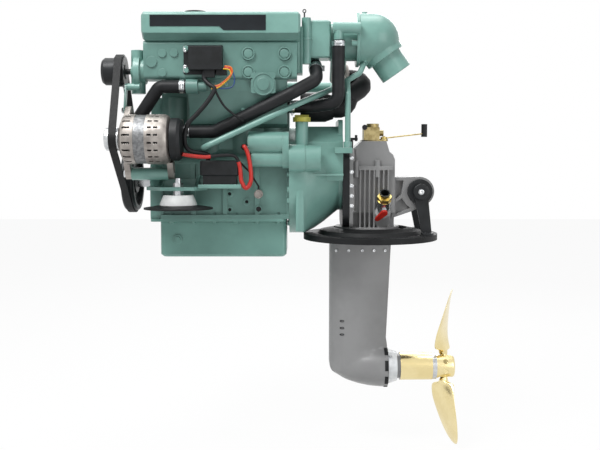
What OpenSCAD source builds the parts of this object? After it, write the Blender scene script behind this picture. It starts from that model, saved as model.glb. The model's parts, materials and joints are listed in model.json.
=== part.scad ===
// Four-cylinder marine diesel with a sail drive leg and a folding propeller.
// X runs aft, Y to starboard, Z up. The origin lies on the engine bed, midway between the front mounts.

/* [Engine block] */
// Height of the crankshaft axis above the engine bed
crank_z = 75; // [73:1:78]
// Distance from the front mounts forward to the block's front face
mount_to_block = 60; // [56:1:64]
// Length of the cylinder block
block_l = 365; // [360:1:372]
// Width of the block at the cylinders
block_w = 180; // [176:1:184]
// Width of the crankcase
crankcase_w = 240; // [236:1:244]
// Height of the block's deck above the crankshaft
deck_h = 250; // [247:1:253]
// Depth of the crankcase below the crankshaft
crankcase_h = 108; // [106:1:112]
// Radius of the crank throws
throw_r = 44; // [40:1:46]
// Height of the cylinder head
head_h = 80; // [77:1:83]
// Height of the rocker cover
rocker_h = 70; // [64:1:74]
// Depth of the oil sump below its flange
sump_h = 104; // [90:1:116]
// Width of the oil sump
sump_w = 206; // [196:1:212]

/* [Cooling] */
// Length of the heat exchanger
cooler_l = 422; // [418:1:428]
// Depth of the heat exchanger from the engine outwards
cooler_w = 95; // [92:1:98]
// Height of the heat exchanger
cooler_h = 104; // [102:1:106]
// Height of the expansion tank
tank_h = 76; // [70:1:82]
// Outside radius of the coolant hoses
hose_r = 18; // [16:0.5:18.5]
// Outside radius of the steel coolant pipes
pipe_r = 8; // [6:0.5:9]

/* [Belt drive] */
// Outside radius of the crank pulley
crank_pulley_r = 92; // [88:1:95]
// Outside radius of the alternator pulley
alternator_pulley_r = 31; // [29:1:33]
// Outside radius of the coolant pump pulley
pump_pulley_r = 42; // [40:1:44]
// Width of the ribbed belt
belt_w = 20; // [17:1:22]
// Thickness of the ribbed belt
belt_t = 5; // [4:0.5:6]

/* [Alternator] */
// Radius of the alternator's housings
alternator_r = 67; // [64:1:69]
// Length of the alternator's two housings and its stator
alternator_l = 134; // [130:1:138]
// Number of air slots round each housing
slot_count = 20; // [16:1:22]

/* [Bell housing] */
// Radius of the bell housing
bell_r = 158; // [155:1:161]
// Length of the bell housing
bell_l = 154; // [151:1:157]
// Wall thickness of the castings
wall = 8; // [7:0.5:9]
// Radius of the flywheel
flywheel_r = 140; // [134:1:143]

/* [Sail drive] */
// Length of the upper gear housing
gearcase_l = 134; // [130:1:138]
// Width of the upper gear housing
gearcase_w = 156; // [152:1:160]
// Height of the upper gear housing above the crankshaft
gearcase_up = 114; // [111:1:117]
// Outside radius of the hull ring
ring_r = 200; // [197:1:204]
// Depth of the propeller shaft below the crankshaft
prop_depth = 568; // [556:1:580]
// Fore and aft length of the leg at the hull
leg_chord = 187; // [183:1:190]
// Width of the leg
leg_w = 88; // [84:1:92]
// Largest radius of the torpedo
torpedo_r = 62; // [60:1:64]

/* [Propeller] */
// Radius of the propeller
prop_r = 238; // [230:1:246]
// Advance of the blades in one turn
blade_pitch = 380; // [360:5:400]
// Width of a blade where it is widest
blade_chord = 98; // [90:1:102]
// Thickness of a blade near its root
blade_t = 15; // [13:0.5:16]
// Distance of each blade pin from the shaft axis
pin_off = 15; // [14.5:0.25:15.5]

/* [Exhaust] */
// Outside radius of the exhaust outlet
outlet_r = 47; // [45:0.5:49]
// Length of the outlet that the hose goes over
outlet_l = 56; // [52:1:60]

/* [Mounts] */
// Distance of each front mount from the centreline
mount_y = 200; // [198:1:203]
// Distance between the two bolts of a front mount
mount_pitch = 150; // [146:1:154]
// Radius of the bolt holes in the mounts
mount_hole_r = 5.5; // [4.5:0.25:6]

/* [Hidden] */

// Colours
green = "#6F998D";
dark_green = "#55806F";
grey = "#8D8D8D";
black = "#242424";
steel = "#C4C6C8";
alloy = "#BDB7B2";
bronze = "#D9BE7B";
brass = "#C9A84A";
white = "#E6E8EA";
red = "#C0231C";

// Sizes shared by many pieces
cut = 2; // overrun of every cut
seat = 0.3; // space between a piece and the seat that it doesn't touch
run_fit = 0.05; // running clearance round a shaft
belt_gap = 0.4; // space between the belt and the pulleys that turn under it
bolt_r = 4; // shank radius of the common bolt
head_r = 7.5; // radius across the corners of its head
head_t = 5.5; // height of its head
bolt_l = 16; // depth of its thread in a casting
steps = 6; // points in each rounded corner
fine = 72; // facets of a large circle
coarse = 32; // facets of a small one

// Main faces of the engine
front_x = -mount_to_block;
block_end = front_x+block_l;
case_t = 32;
case_x = front_x-case_t;
half_w = block_w/2;
half_case = crankcase_w/2;
deck_z = crank_z+deck_h;
head_z = deck_z+head_h;
cover_z = head_z+rocker_h;
skirt_z = crank_z-crankcase_h;
bore_pitch = block_l/4;
side_y = 1.1*half_w+seat; // just clear of the cylinder barrels
rail_w = 10; // how far the foot of the crankcase stands out
rail_t = 12;
arm_root = half_case+0.7*rail_w;

// Crankshaft
journal_r = 30;
pin_r = 24;
web_t = 14;
bay_wall = 18; // thickness of each bearing wall
throw_l = 60; // length of one throw with its two webs
bay_r = 84; // radius of the space that the webs turn in
nose_r = 22;
flange_r = 52; // radius of the flange that carries the flywheel
flange_t = 14;

// Sump
sump_flange_t = 8;
sump_front = 24; // how far the pan stands back from the front of its flange
sump_r = 14;

// Heat exchanger and tank
cooler_x = case_x-rail_t/6;
cooler_y = -half_w-cooler_w;
cooler_z = head_z-48;
cooler_top = cooler_z+cooler_h;
tank_over = 22; // how far the tank stands out over the heat exchanger
tank_x = cooler_x-1.5;
tank_l = cooler_l+11;
tank_y = cooler_y-tank_over;
tank_w = 150;
tank_top = cooler_top+tank_h;
tank_r = 10;
plug_r = 17;
plug_t = 4;
spigot_r = 13; // outside radius of the hose spigots
spigot_l = 34;
clamp_w = 14;
clamp_t = 1.6;

// Belt run
belt_reach = 73; // from the timing case to the middle of the belt
belt_x = case_x-belt_reach;
alt_y = -240;
alt_z = crank_z+116;
pump_y = -142;
pump_z = head_z-24;
rim_w = 4; // width of each pulley flange
groove_h = 2.4;
groove_count = 5;
pulleys = [[0, crank_z, crank_pulley_r], [pump_y, pump_z, pump_pulley_r], [alt_y, alt_z,
	alternator_pulley_r]];

// Alternator
alt_x = case_x-52; // front of the front housing
alt_shaft_r = 8.5;
alt_wall = 5;
stator_l = 30;
front_shell_l = 40;
alt_cover_l = 27;
pivot_y = -196;
pivot_z = crank_z+22;
pivot_r = 6;
ear_r = 15;
ear_t = 16;
top_ear_y = -188;
top_ear_z = crank_z+196;
rotor_r = 45;

// Starter
starter_y = -162;
starter_z = crank_z+109;
starter_r = 30;
starter_l = 112;
motor_y = -157;
motor_z = crank_z+65;
motor_r = 24;

// Bell housing and adapter
bell_flange_t = 45;
bell_x = block_end;
bell_end = bell_x+bell_l;
bell_top = crank_z+156;
flywheel_t = 42;
adapter_t = 20;
adapter_x = bell_end;
gearcase_x = bell_end+adapter_t;

// Gear housing and rear mount
gearcase_end = gearcase_x+gearcase_l;
gearcase_top = crank_z+gearcase_up;
ring_x = gearcase_x+68;
ring_z = crank_z-176;
ring_t = 17;
ring_in_r = 126;
ring_bolt_r = 178;
ring_bolt_count = 12;
hub_z = crank_z-33; // height of the rear mount's axis
hub_x = gearcase_end+74;
hub_r = 43;
bush_r = 36;
rear_bolt_r = 9.5;
base_r = 95;
base_t = 14;
base_x = gearcase_x+58;
base_z = ring_z+ring_t+22;
fin_pitch = 13.6;
fin_t = 4;

// Leg
leg_x = gearcase_x-55; // leading edge
leg_top = ring_z+10;
prop_z = crank_z-prop_depth;
torpedo_l = 176;
torpedo_end = leg_x+torpedo_l;
shaft_r = 17.5;
post_r = 14; // radius of the vertical shaft
post_x = leg_x+0.6*leg_chord;
gear_r = 36;
pinion_r = 21;
cone_t = 14;

// Propeller
anode_l = 29;
anode_r = 54;
anode_x = torpedo_end+seat;
neck_l = 10; // grey ring between the anode and the hub
sleeve_x = anode_x+anode_l+seat;
sleeve_l = 107;
sleeve_r = 42;
lip_l = 13;
hub_pin_x = sleeve_x+sleeve_l+3*lip_l;
cheek_r = 36;
cheek_end = hub_pin_x+29;
fork_w = 34; // width of the slot that the blade roots turn in
root_r = 12.4;
tooth_tip_r = 17.1;
blade_pin_r = 7;
gear_teeth = 12;
pressure_deg = 25;
backlash_deg = 1.6;
prop_turn_deg = 10; // turn of the propeller as it stands
blade_points = 20;

// Exhaust
elbow_y = -60;
elbow_x = cooler_x+cooler_l+220;
elbow_z = head_z+75;
elbow_r = 74;
neck_r = 58;
outlet_tilt = 55; // slope of the outlet below the horizontal
elbow_start = elbow_x-51;
outlet_start = 62; // from the elbow's centre to the step of the outlet
outlet_wall = 4;

// Front mounts
disc_r = 95;
disc_t = 11;
disc_edge = 4;
cone_r = 51;
cone_top_r = 41;
cone_h = 28;
stud_r = 8;
bracket_t = 10;
bracket_z = disc_t+cone_h+12;

// Points and outlines
function unit(v) = v/norm(v);
function arc_points(cx, cy, r, a0, a1, n = steps) =
	[for (i = [0:n]) [cx+r*cos(a0+(a1-a0)*i/n), cy+r*sin(a0+(a1-a0)*i/n)]];
function round_rect(x0, y0, x1, y1, r) = concat(
	arc_points(x1-r, y1-r, r, 0, 90), arc_points(x0+r, y1-r, r, 90, 180),
	arc_points(x0+r, y0+r, r, 180, 270), arc_points(x1-r, y0+r, r, 270, 360));

// A flat outline in Y and Z, drawn from x0 to x1
module along_x(x0, x1) {
	translate([x0, 0, 0]) rotate([90, 0, 90]) linear_extrude(x1-x0) children();
}

// A flat outline in X and Z, drawn from y0 to y1
module along_y(y0, y1) {
	translate([0, y1, 0]) rotate([90, 0, 0]) linear_extrude(y1-y0) children();
}

// A flat outline in X and Y, drawn from z0 to z1
module along_z(z0, z1) {
	translate([0, 0, z0]) linear_extrude(z1-z0) children();
}

module rod_x(x0, x1, y, z, r, r2 = undef) {
	translate([x0, y, z]) rotate([0, 90, 0]) cylinder(h = x1-x0, r1 = r, r2 = is_undef(r2) ? r : r2,
		$fn=fine);
}

module rod_y(x, y0, y1, z, r) {
	translate([x, y1, z]) rotate([90, 0, 0]) cylinder(h = y1-y0, r = r, $fn=fine);
}

module rod_z(x, y, z0, z1, r, r2 = undef) {
	translate([x, y, z0]) cylinder(h = z1-z0, r1 = r, r2 = is_undef(r2) ? r : r2, $fn=fine);
}

module block(a, b) {
	translate(a) cube(b-a);
}

// A straight round bar between two points
module bar(p, q, r, r2 = undef) {
	d = q-p;
	translate(p) rotate([0, acos(d[2]/norm(d)), atan2(d[1], d[0])])
		cylinder(h = norm(d), r1 = r, r2 = is_undef(r2) ? r : r2, $fn=coarse);
}

// A flat strip with round ends between two points of X, Y and Z, thick along X
module strip_x(p, q, r, t) {
	d = q-p;
	a = atan2(d[2], d[1]);
	along_x(p[0], p[0]+t) polygon(concat(
		arc_points(q[1], q[2], r, a-90, a+90), arc_points(p[1], p[2], r, a+90, a+270)));
}

// Places and directions along a route of points whose corners are bends of radius bend
function route_path(p, bend, m = 5) = let (n = len(p), d = [for (i = [0:n-2]) unit(p[i+1]-p[i])])
	concat([[p[0], d[0]]], [for (i = [1:n-2]) let (half = acos(d[i-1]*d[i])/2, side = unit(d[i]-d[i-1]),
		centre = p[i]+side*bend/cos(half), out = unit(p[i]-d[i-1]*bend*tan(half)-centre))
		for (k = [0:m]) let (a = 2*half*k/m)
			[centre+bend*(out*cos(a)+d[i-1]*sin(a)), d[i-1]*cos(a)-out*sin(a)]], [[p[n-1], d[n-2]]]);
// Carries the side direction v along the path from place i
function carry(path, v, i = 0) = i == len(path) ? [] : let (t = path[i][1], w = unit(v-(v*t)*t))
	concat([w], carry(path, w, i+1));

// Round bar along a route, with n sides
module route(p, r, bend, n = 24) {
	path = route_path(p, bend);
	side = carry(path, abs(path[0][1][2]) < 0.8 ? [0, 0, 1] : [1, 0, 0]);
	loft([for (k = [0:len(path)-1]) [for (i = [0:n-1])
		path[k][0]+r*(side[k]*cos(360*i/n)+cross(path[k][1], side[k])*sin(360*i/n))]]);
}

// A profile of radius and length, turned about an axis along X at p
module lathe_x(p, points) {
	translate(p) rotate([0, 90, 0]) rotate_extrude($fn=fine) polygon(points);
}

// A box with round corners in plan and eased edges above and below
module soft_box(a, b, r, e) {
	hull() {
		along_z(a[2], b[2]) polygon(round_rect(a[0]+e, a[1]+e, b[0]-e, b[1]-e, r));
		along_z(a[2]+e, b[2]-e) polygon(round_rect(a[0], a[1], b[0], b[1], r));
	}
}

// Walls between rings of points, closed at both ends
module loft(rings) {
	n = len(rings[0]);
	m = len(rings);
	polyhedron(points = [for (ring = rings) each ring], faces = concat(
		[[for (i = [0:n-1]) i]],
		[for (k = [0:m-2]) for (i = [0:n-1]) [k*n+i, (k+1)*n+i, (k+1)*n+(i+1) % n]],
		[for (k = [0:m-2]) for (i = [0:n-1]) [k*n+i, (k+1)*n+(i+1) % n, k*n+(i+1) % n]],
		[[for (i = [n-1:-1:0]) (m-1)*n+i]]));
}

// A hexagon bolt that points along +Z into its casting from the origin
module bolt(l = bolt_l, r = bolt_r, head = head_r, t = head_t) {
	translate([0, 0, -t]) cylinder(h = t, r = head, $fn = 6);
	translate([0, 0, -t*0.25]) cylinder(h = t*0.25, r = head*1.12, $fn=coarse);
	cylinder(h = l, r = r, $fn=coarse);
}

module bolt_hole(l = bolt_l, r = bolt_r) {
	translate([0, 0, -cut]) cylinder(h = l+2*cut, r = r+run_fit, $fn=coarse);
}

// Places of the bolts: each is a point and the turn that points the bolt into its casting
bell_bolt_share = 0.94;
bell_bolt_degs = [8, -9, -22, -56, 172, 189, 202, 236];
bell_bolts = [for (a = bell_bolt_degs)
	[[bell_x, bell_r*bell_bolt_share*cos(a), crank_z+bell_r*bell_bolt_share*sin(a)], [0, 90, 0]]];
sump_bolt_rows = 6;
sump_bolts = [for (i = [0:sump_bolt_rows-1]) for (s = [-1, 1])
	[[front_x+block_l*(i+0.5)/sump_bolt_rows, s*(half_case+rail_w*0.1),
		skirt_z-sump_flange_t], [0, 0, 0]]];
head_bolts = [for (i = [0:4]) for (s = [-1, 1])
	[[front_x+block_l*(0.06+0.22*i), s*half_w*0.82, head_z], [180, 0, 0]]];

module place(p) {
	translate(p[0]) rotate(p[1]) children();
}

// Side bosses of the crankcase, as shares of its length and depth
boss_shares = [[0.534, 0.66], [0.668, 0.45], [0.534, 0.24], [0.762, 0.24]];
boss_r = 10;
boss_t = 3;

module cylinder_block() {
	foot = half_case+rail_w;
	shoulder = crank_z+0.2*deck_h;
	waist = crank_z+0.36*deck_h;
	rib_t = 0.07*bore_pitch;
	color(green) difference() {
		union() {
			along_x(front_x, block_end) polygon([[-foot, skirt_z], [foot, skirt_z], [foot, skirt_z+rail_t],
				[half_case, skirt_z+rail_t], [half_case, shoulder], [half_w, waist], [half_w, deck_z],
				[-half_w, deck_z], [-half_w, waist], [-half_case, shoulder],
				[-half_case, skirt_z+rail_t], [-foot, skirt_z+rail_t]]);
			for (i = [0:3]) for (s = [-1, 1])
				rod_z(front_x+bore_pitch*(i+0.5), s*half_w*0.62, crank_z+0.24*deck_h,
					deck_z-rail_t, half_w*0.48);
			for (i = [0:4]) for (s = [-1, 1])
				block([max(front_x, front_x+bore_pitch*i-rib_t),
					s*(half_case+rail_w*0.3)-rail_w*0.4,
					skirt_z], [min(block_end, front_x+bore_pitch*i+rib_t),
					s*(half_case+rail_w*0.3)+rail_w*0.4, shoulder]);
			for (b = boss_shares) for (s = [-1, 1])
				rod_y(front_x+b[0]*block_l, s > 0 ? 0 : -half_case-boss_t, s > 0 ? half_case+boss_t : 0,
					skirt_z+b[1]*crankcase_h, boss_r);
		}
		for (i = [0:3]) {
			middle = front_x+bore_pitch*(i+0.5);
			bay = (bore_pitch-bay_wall)/2;
			rod_x(middle-bay, middle+bay, 0, crank_z, bay_r);
			block([middle-bay, -bay_r, skirt_z-cut], [middle+bay, bay_r, crank_z]);
		}
		rod_x(front_x-cut, block_end+cut, 0, crank_z, journal_r+run_fit);
		for (b = boss_shares) for (s = [-1, 1])
			rod_y(front_x+b[0]*block_l, s > 0 ? half_case-boss_r : -half_case-boss_t-cut,
				s > 0 ? half_case+boss_t+cut : -half_case+boss_r, skirt_z+b[1]*crankcase_h,
					boss_r*0.5);
		for (p = sump_bolts) translate([0, 0, sump_flange_t]) place(p) bolt_hole();
	}
}

module cylinder_head() {
	inset = 0.03*block_l;
	port_l = 0.5*bore_pitch;
	color(green) difference() {
		union() {
			along_x(front_x+inset, block_end-inset) polygon([[-half_w, deck_z], [half_w*0.94, deck_z],
				[half_w*0.94, head_z-0.3*head_h], [half_w*0.8, head_z], [-half_w, head_z]]);
			for (i = [0:3]) {
				middle = front_x+bore_pitch*(i+0.5);
				block([middle-port_l/2, half_w*0.9, deck_z+0.2*head_h],
					[middle+port_l/2, half_w, deck_z+0.62*head_h]);
				bar([middle, half_w*0.7, head_z-0.2*head_h], [middle, half_w*1.02, head_z+0.12*head_h],
					0.12*head_h);
			}
		}
		for (p = head_bolts) place(p) bolt_hole();
	}
}

cover_y0 = -0.56*half_w;
cover_y1 = 0.62*half_w;

module rocker_cover() {
	rim = 0.12*rocker_h;
	x0 = front_x+0.05*block_l;
	x1 = block_end-0.05*block_l;
	color(green) {
		soft_box([x0, cover_y0, head_z+rim], [x1, cover_y1, cover_z], 3*rim, 1.4*rim);
		along_z(head_z, head_z+rim) polygon(round_rect(x0-rim, cover_y0-rim/2, x1+rim,
			cover_y1+rim/2, 3*rim));
		for (i = [0:2]) rod_z(x0+(0.12+0.38*i)*(x1-x0), (cover_y0+cover_y1)/2, cover_z-rim,
			cover_z+rim, 1.3*rim);
	}
}

// Oil filler on the bell housing
filler_x = bell_x+0.8*bell_flange_t;
filler_y = -0.83*bell_r;
filler_z = crank_z+0.98*bell_r;
filler_r = 18;
filler_h = 12;
cap_r = 25;
cap_t = 13;

module oil_cap() {
	z0 = filler_z+filler_h+seat;
	color("#A9A53C") {
		rod_z(filler_x, filler_y, z0, z0+cap_t, cap_r);
		rod_z(filler_x, filler_y, z0-filler_h*0.8, z0, filler_r-wall*0.5-run_fit);
		block([filler_x-cap_r*0.8, filler_y-cap_t*0.2, z0+cap_t],
			[filler_x+cap_r*0.8, filler_y+cap_t*0.2, z0+1.5*cap_t]);
	}
}

// Drives in the timing case
seal_r = 50;
cam_r = 60;
cam_y = 30;
cam_z = crank_z+140;
sea_y = -135;
sea_z = crank_z+141;
sea_gear_r = 37;

module timing_case() {
	w = half_case-seat;
	color(green) difference() {
		union() {
			along_x(case_x, front_x) polygon([[-w, skirt_z], [w, skirt_z], [w, crank_z+0.1*deck_h],
				[half_w, crank_z+0.36*deck_h], [half_w*0.9, deck_z-rail_t], [-half_w*0.9,
					deck_z-rail_t],
				[-half_w, crank_z+0.36*deck_h], [-w, crank_z+0.1*deck_h]]);
			rod_x(case_x-0.4*case_t, front_x, 0, crank_z, seal_r);
			rod_x(case_x-0.3*case_t, front_x, cam_y, cam_z, cam_r);
			rod_x(case_x-0.3*case_t, front_x, cam_y+0.5*cam_r, deck_z-0.8*cam_r, 0.6*cam_r);
			rod_x(case_x, front_x, sea_y, sea_z, sea_gear_r);
			block([case_x, sea_y, sea_z-0.7*sea_gear_r], [front_x, 0, sea_z+0.7*sea_gear_r]);
		}
		rod_x(case_x-case_t, front_x+cut, 0, crank_z, nose_r+run_fit);
		rod_x(front_x-0.3*case_t, front_x+cut, 0, crank_z, journal_r+run_fit);
	}
}

sump_x = case_x+sump_front;
sump_end = block_end-sump_flange_t;
sump_z = skirt_z-sump_flange_t;
drain_share = 0.14; // place of the drain plug along the pan

module oil_sump() {
	foot = half_case+rail_w;
	half = sump_w/2;
	drain_x = sump_x+drain_share*(sump_end-sump_x);
	drain_r = 0.09*sump_h;
	color(dark_green) difference() {
		union() {
			along_z(sump_z, skirt_z) polygon(round_rect(case_x, -foot, sump_end, foot, sump_r));
			soft_box([sump_x, -half, sump_z-sump_h], [sump_end, half, sump_z+sump_flange_t/2], sump_r,
				sump_r/2);
			rod_y(drain_x, -half-drain_r/2, -half+drain_r, sump_z-0.5*sump_h, 1.4*drain_r);
			rod_y(drain_x, -half-drain_r, -half, sump_z-0.5*sump_h, 0.8*drain_r);
		}
		along_z(sump_z-sump_h+wall, skirt_z+cut)
			polygon(round_rect(front_x+wall, -bay_r, sump_end-2*wall, bay_r, sump_r));
		for (p = sump_bolts) place(p) bolt_hole();
	}
}

// Webs of one throw, drawn upwards
module web_outline() {
	polygon(concat(arc_points(0, throw_r, pin_r+wall, 0, 180), arc_points(0, 0, throw_r+pin_r+wall,
		200, 340)));
}

module crankshaft() {
	color(steel) {
		rod_x(belt_x-belt_w, front_x, 0, crank_z, nose_r);
		for (i = [0:4]) {
			lead = (bore_pitch-throw_l+web_t)/2;
			middle = front_x+bore_pitch*i;
			rod_x(i == 0 ? front_x-0.25*case_t : middle-lead,
				i == 4 ? block_end+wall/2 : middle+lead, 0, crank_z, journal_r);
		}
		for (i = [0:3]) translate([front_x+bore_pitch*(i+0.5), 0,
			crank_z]) rotate([i == 1 || i == 2 ? 180 : 0, 0, 0]) {
			along_x(-throw_l/2, -throw_l/2+web_t) web_outline();
			along_x(throw_l/2-web_t, throw_l/2) web_outline();
			rod_x(-throw_l/2, throw_l/2, 0, throw_r, pin_r);
		}
		rod_x(block_end+wall/2, block_end+wall/2+flange_t, 0, crank_z, flange_r);
	}
}

module flywheel() {
	x0 = block_end+wall/2+flange_t;
	rim = 0.16*flywheel_r;
	dish = 0.3*flywheel_t;
	color(steel) lathe_x([0, 0, crank_z], [[0, x0], [flange_r+rim, x0], [flange_r+rim, x0-dish],
		[flywheel_r, x0-dish],
			[flywheel_r, x0+0.2*flywheel_t], [flywheel_r-0.3*rim, x0+0.2*flywheel_t],
			[flywheel_r-0.3*rim, x0+flywheel_t-dish], [flywheel_r-rim, x0+flywheel_t-dish],
			[flywheel_r-rim, x0+0.4*flywheel_t], [0, x0+0.4*flywheel_t]]);
}

// Radius against X of a grooved rim, from its left side to its right
function rim_points(r, w) = concat([[r, -w/2-rim_w], [r, -w/2]],
	[for (i = [0:groove_count-1]) for (k = [0:1])
		[k == 0 ? r : r-groove_h, -w/2+w*(i+0.25+0.5*k)/groove_count]],
	[[r, w/2], [r, w/2+rim_w]]);

module crank_pulley() {
	w = belt_w+2*rim_w;
	web = 0.3*w;
	r = crank_pulley_r;
	color(black) lathe_x([belt_x, 0, crank_z], concat([[nose_r+run_fit, -w/2], [nose_r+3*wall, -w/2],
		[nose_r+3*wall, -web/2], [r-2*wall, -web/2], [r-2*wall, -w*0.66], [r-rim_w, -w*0.66]],
		rim_points(r, belt_w),
			[[r-rim_w, w*0.66], [r-2*wall, w*0.66], [r-2*wall, web/2],
			[nose_r+2*wall, web/2], [nose_r+2*wall, w/2], [nose_r+run_fit, w/2]]));
	color(steel) translate([belt_x-belt_w-2*head_t, 0, crank_z]) rotate([0, 90, 0])
		cylinder(h = 2*head_t, r = 0.9*nose_r, $fn = 6);
}

// Outline round the three pulleys, at a distance from them
function belt_points(grow) = [for (i = [0:2]) let (
		a = pulleys[i], b = pulleys[(i+1) % 3], c = pulleys[(i+2) % 3],
		before = side_deg(c, a), after = side_deg(a, b))
	each arc_points(a[0], a[1], a[2]+grow, before, after < before ? after+360 : after, 3*steps)];
// Direction of the outer side of the straight run from one pulley to the next, anticlockwise
function side_deg(a, b) = atan2(b[1]-a[1], b[0]-a[0])-acos((a[2]-b[2])/norm([b[0]-a[0],
	b[1]-a[1]]));

module drive_belt() {
	color(black) along_x(belt_x-belt_w/2, belt_x+belt_w/2) difference() {
		polygon(belt_points(belt_gap+belt_t));
		polygon(belt_points(belt_gap));
	}
}

// Coolant pump and its pulley
pump_r = 44;
snout_r = 20;
pump_shaft_r = 8;
pump_x = belt_x+belt_w+11;
arm_ear_y = -166;
arm_ear_z = pump_z-44;

module coolant_pump() {
	neck_x = cooler_x-pump_r/2;
	color(green) difference() {
		union() {
			rod_x(pump_x, pump_x+0.5*snout_r, pump_y, pump_z, snout_r);
			rod_x(pump_x+0.5*snout_r, cooler_x-0.3*pump_r, pump_y, pump_z, pump_r);
			rod_x(cooler_x-0.3*pump_r, cooler_x, pump_y, pump_z, 0.8*pump_r);
			rod_z(neck_x, pump_y, pump_z-1.4*pump_r, pump_z, 0.45*pump_r);
			rod_z(neck_x, pump_y-0.2*pump_r, pump_z, pump_z+1.3*pump_r, 0.4*pump_r);
			rod_x(alt_x+2*seat, cooler_x-0.3*pump_r, arm_ear_y, arm_ear_z, 0.22*pump_r);
		}
		rod_x(pump_x-cut, cooler_x-0.3*pump_r, pump_y, pump_z, pump_shaft_r+run_fit);
	}
}

module pump_pulley() {
	cup = 0.9*pump_pulley_r;
	color(black) lathe_x([belt_x, pump_y, pump_z], concat([[0, -1.3*cup], [0.85*cup, -1.3*cup], [cup,
		-1.1*cup],
			[cup, -belt_w/2-rim_w]], rim_points(pump_pulley_r, belt_w),
			[[snout_r, belt_w/2+rim_w], [snout_r, belt_w/2+1.5*rim_w],
			[pump_shaft_r, belt_w/2+1.5*rim_w], [pump_shaft_r, 2.2*belt_w], [0, 2.2*belt_w]]));
}

// Plugs and bosses on the outer face of the heat exchanger, as shares of its length and height
plug_shares = [[0.682, 0.644], [0.922, 0.644], [0.682, 0.144], [0.922, 0.144]];
cooler_boss_shares = [[0.053, 0.449, 0.88], [0.124, 0.671, 0.66], [0.2, 0.683, 0.66], [0.123, 0.165,
	0.66]];
hatch_shares = [0.7, 0.86]; // sides of the square cover along the heat exchanger

module heat_exchanger() {
	hatch_x = cooler_x+hatch_shares*[0.5, 0.5]*cooler_l;
	hatch_w = (hatch_shares[1]-hatch_shares[0])*cooler_l;
	hatch_t = 0.08*cooler_w;
	color(green) {
		difference() {
			along_x(cooler_x, cooler_x+cooler_l)
				polygon(round_rect(cooler_y, cooler_z, -half_w, cooler_top, tank_r));
			for (p = plug_shares) translate([cooler_x+p[0]*cooler_l, cooler_y, cooler_z+p[1]*cooler_h])
				rotate([90, 0, 0]) difference() {
					cylinder(h = 2*plug_t, r = plug_r, center = true, $fn=fine);
					cylinder(h = 3*plug_t, r = 0.66*plug_r, center = true, $fn=fine);
				}
		}
		for (p = plug_shares) rod_y(cooler_x+p[0]*cooler_l, cooler_y-plug_t/2, cooler_y,
			cooler_z+p[1]*cooler_h, 0.66*plug_r);
		for (p = cooler_boss_shares) rod_y(cooler_x+p[0]*cooler_l, cooler_y-plug_t, cooler_y,
			cooler_z+p[1]*cooler_h, p[2]*plug_r);
		along_y(cooler_y-hatch_t, cooler_y) polygon(round_rect(hatch_x-hatch_w/2, cooler_z,
			hatch_x+hatch_w/2, cooler_z+0.16*cooler_h, 0.1*hatch_w));
	}
}

// Outline of the tank in Y and Z, drawn in by e
function tank_points(e) = let (y0 = tank_y+e, y1 = tank_y+tank_w-e, z0 = cooler_top+e,
	z1 = tank_top-e)
	concat([[cooler_y+e, z0], [y1, z0]], arc_points(y1-3*tank_r, z1-3*tank_r, 3*tank_r, 0, 90),
		arc_points(y0+tank_r, z1-tank_r, tank_r, 90, 180), [[y0, z0+0.24*tank_h]]);
tank_cap_x = tank_x+0.32*tank_l;
tank_cap_y = tank_y+0.55*tank_w;
tank_cap_r = 31;
tank_cap_t = 8;
tank_neck_h = 3;

module expansion_tank() {
	color(green) difference() {
		union() {
			hull() {
				along_x(tank_x, tank_x+tank_l) polygon(tank_points(tank_r*0.6));
				along_x(tank_x+tank_r*0.6, tank_x+tank_l-tank_r*0.6) polygon(tank_points(0));
			}
			rod_z(tank_cap_x, tank_cap_y, tank_top-tank_r, tank_top+tank_neck_h, 0.8*tank_cap_r);
		}
		rod_z(tank_cap_x, tank_cap_y, tank_top-tank_r, tank_top+tank_neck_h+cut, 0.6*tank_cap_r);
	}
}

module tank_cap() {
	z0 = tank_top+tank_neck_h+seat;
	color(black) {
		rod_z(tank_cap_x, tank_cap_y, z0, z0+tank_cap_t, tank_cap_r);
		rod_z(tank_cap_x, tank_cap_y, z0-tank_r, z0, 0.6*tank_cap_r-run_fit);
		block([tank_cap_x-1.2*tank_cap_r, tank_cap_y-0.25*tank_cap_r, z0],
			[tank_cap_x+1.2*tank_cap_r, tank_cap_y+0.25*tank_cap_r, z0+0.8*tank_cap_t]);
	}
}

// Relay box on the heat exchanger
relay_x = cooler_x+111;
relay_l = 108;
relay_w = 28;
relay_h = 64;
relay_z = cooler_z+22;
relay_ear = 16;
relay_bolts = [for (z = [0.03, 0.94]) [[relay_x+0.45*relay_ear, cooler_y-relay_ear/5,
	relay_z+z*relay_h], [-90, 0, 0]]];

module relay_box() {
	plate_t = relay_ear/5;
	color(black) difference() {
		union() {
			along_y(cooler_y-plate_t, cooler_y)
				polygon(round_rect(relay_x, relay_z-0.16*relay_h, relay_x+relay_l,
					relay_z+1.08*relay_h, plate_t));
			soft_box([relay_x+relay_ear, cooler_y-plate_t-relay_w, relay_z],
				[relay_x+relay_l, cooler_y-plate_t/2, relay_z+relay_h], plate_t, plate_t/2);
			block([relay_x+0.55*relay_l, cooler_y-0.8*relay_w, relay_z-0.3*relay_h],
				[relay_x+0.8*relay_l, cooler_y-plate_t, relay_z+cut]);
			block([relay_x+0.84*relay_l, cooler_y-0.7*relay_w, relay_z-0.2*relay_h],
				[relay_x+1.1*relay_l, cooler_y-plate_t, relay_z+cut]);
		}
		for (p = relay_bolts) place(p) bolt_hole(relay_ear/5);
	}
}

// Fuse box on its tray beside the crankcase
fuse_x = front_x+121;
fuse_l = 107;
fuse_z = crank_z-7;
fuse_h = 66;
fuse_y = -212;
fuse_w = 70;

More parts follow.
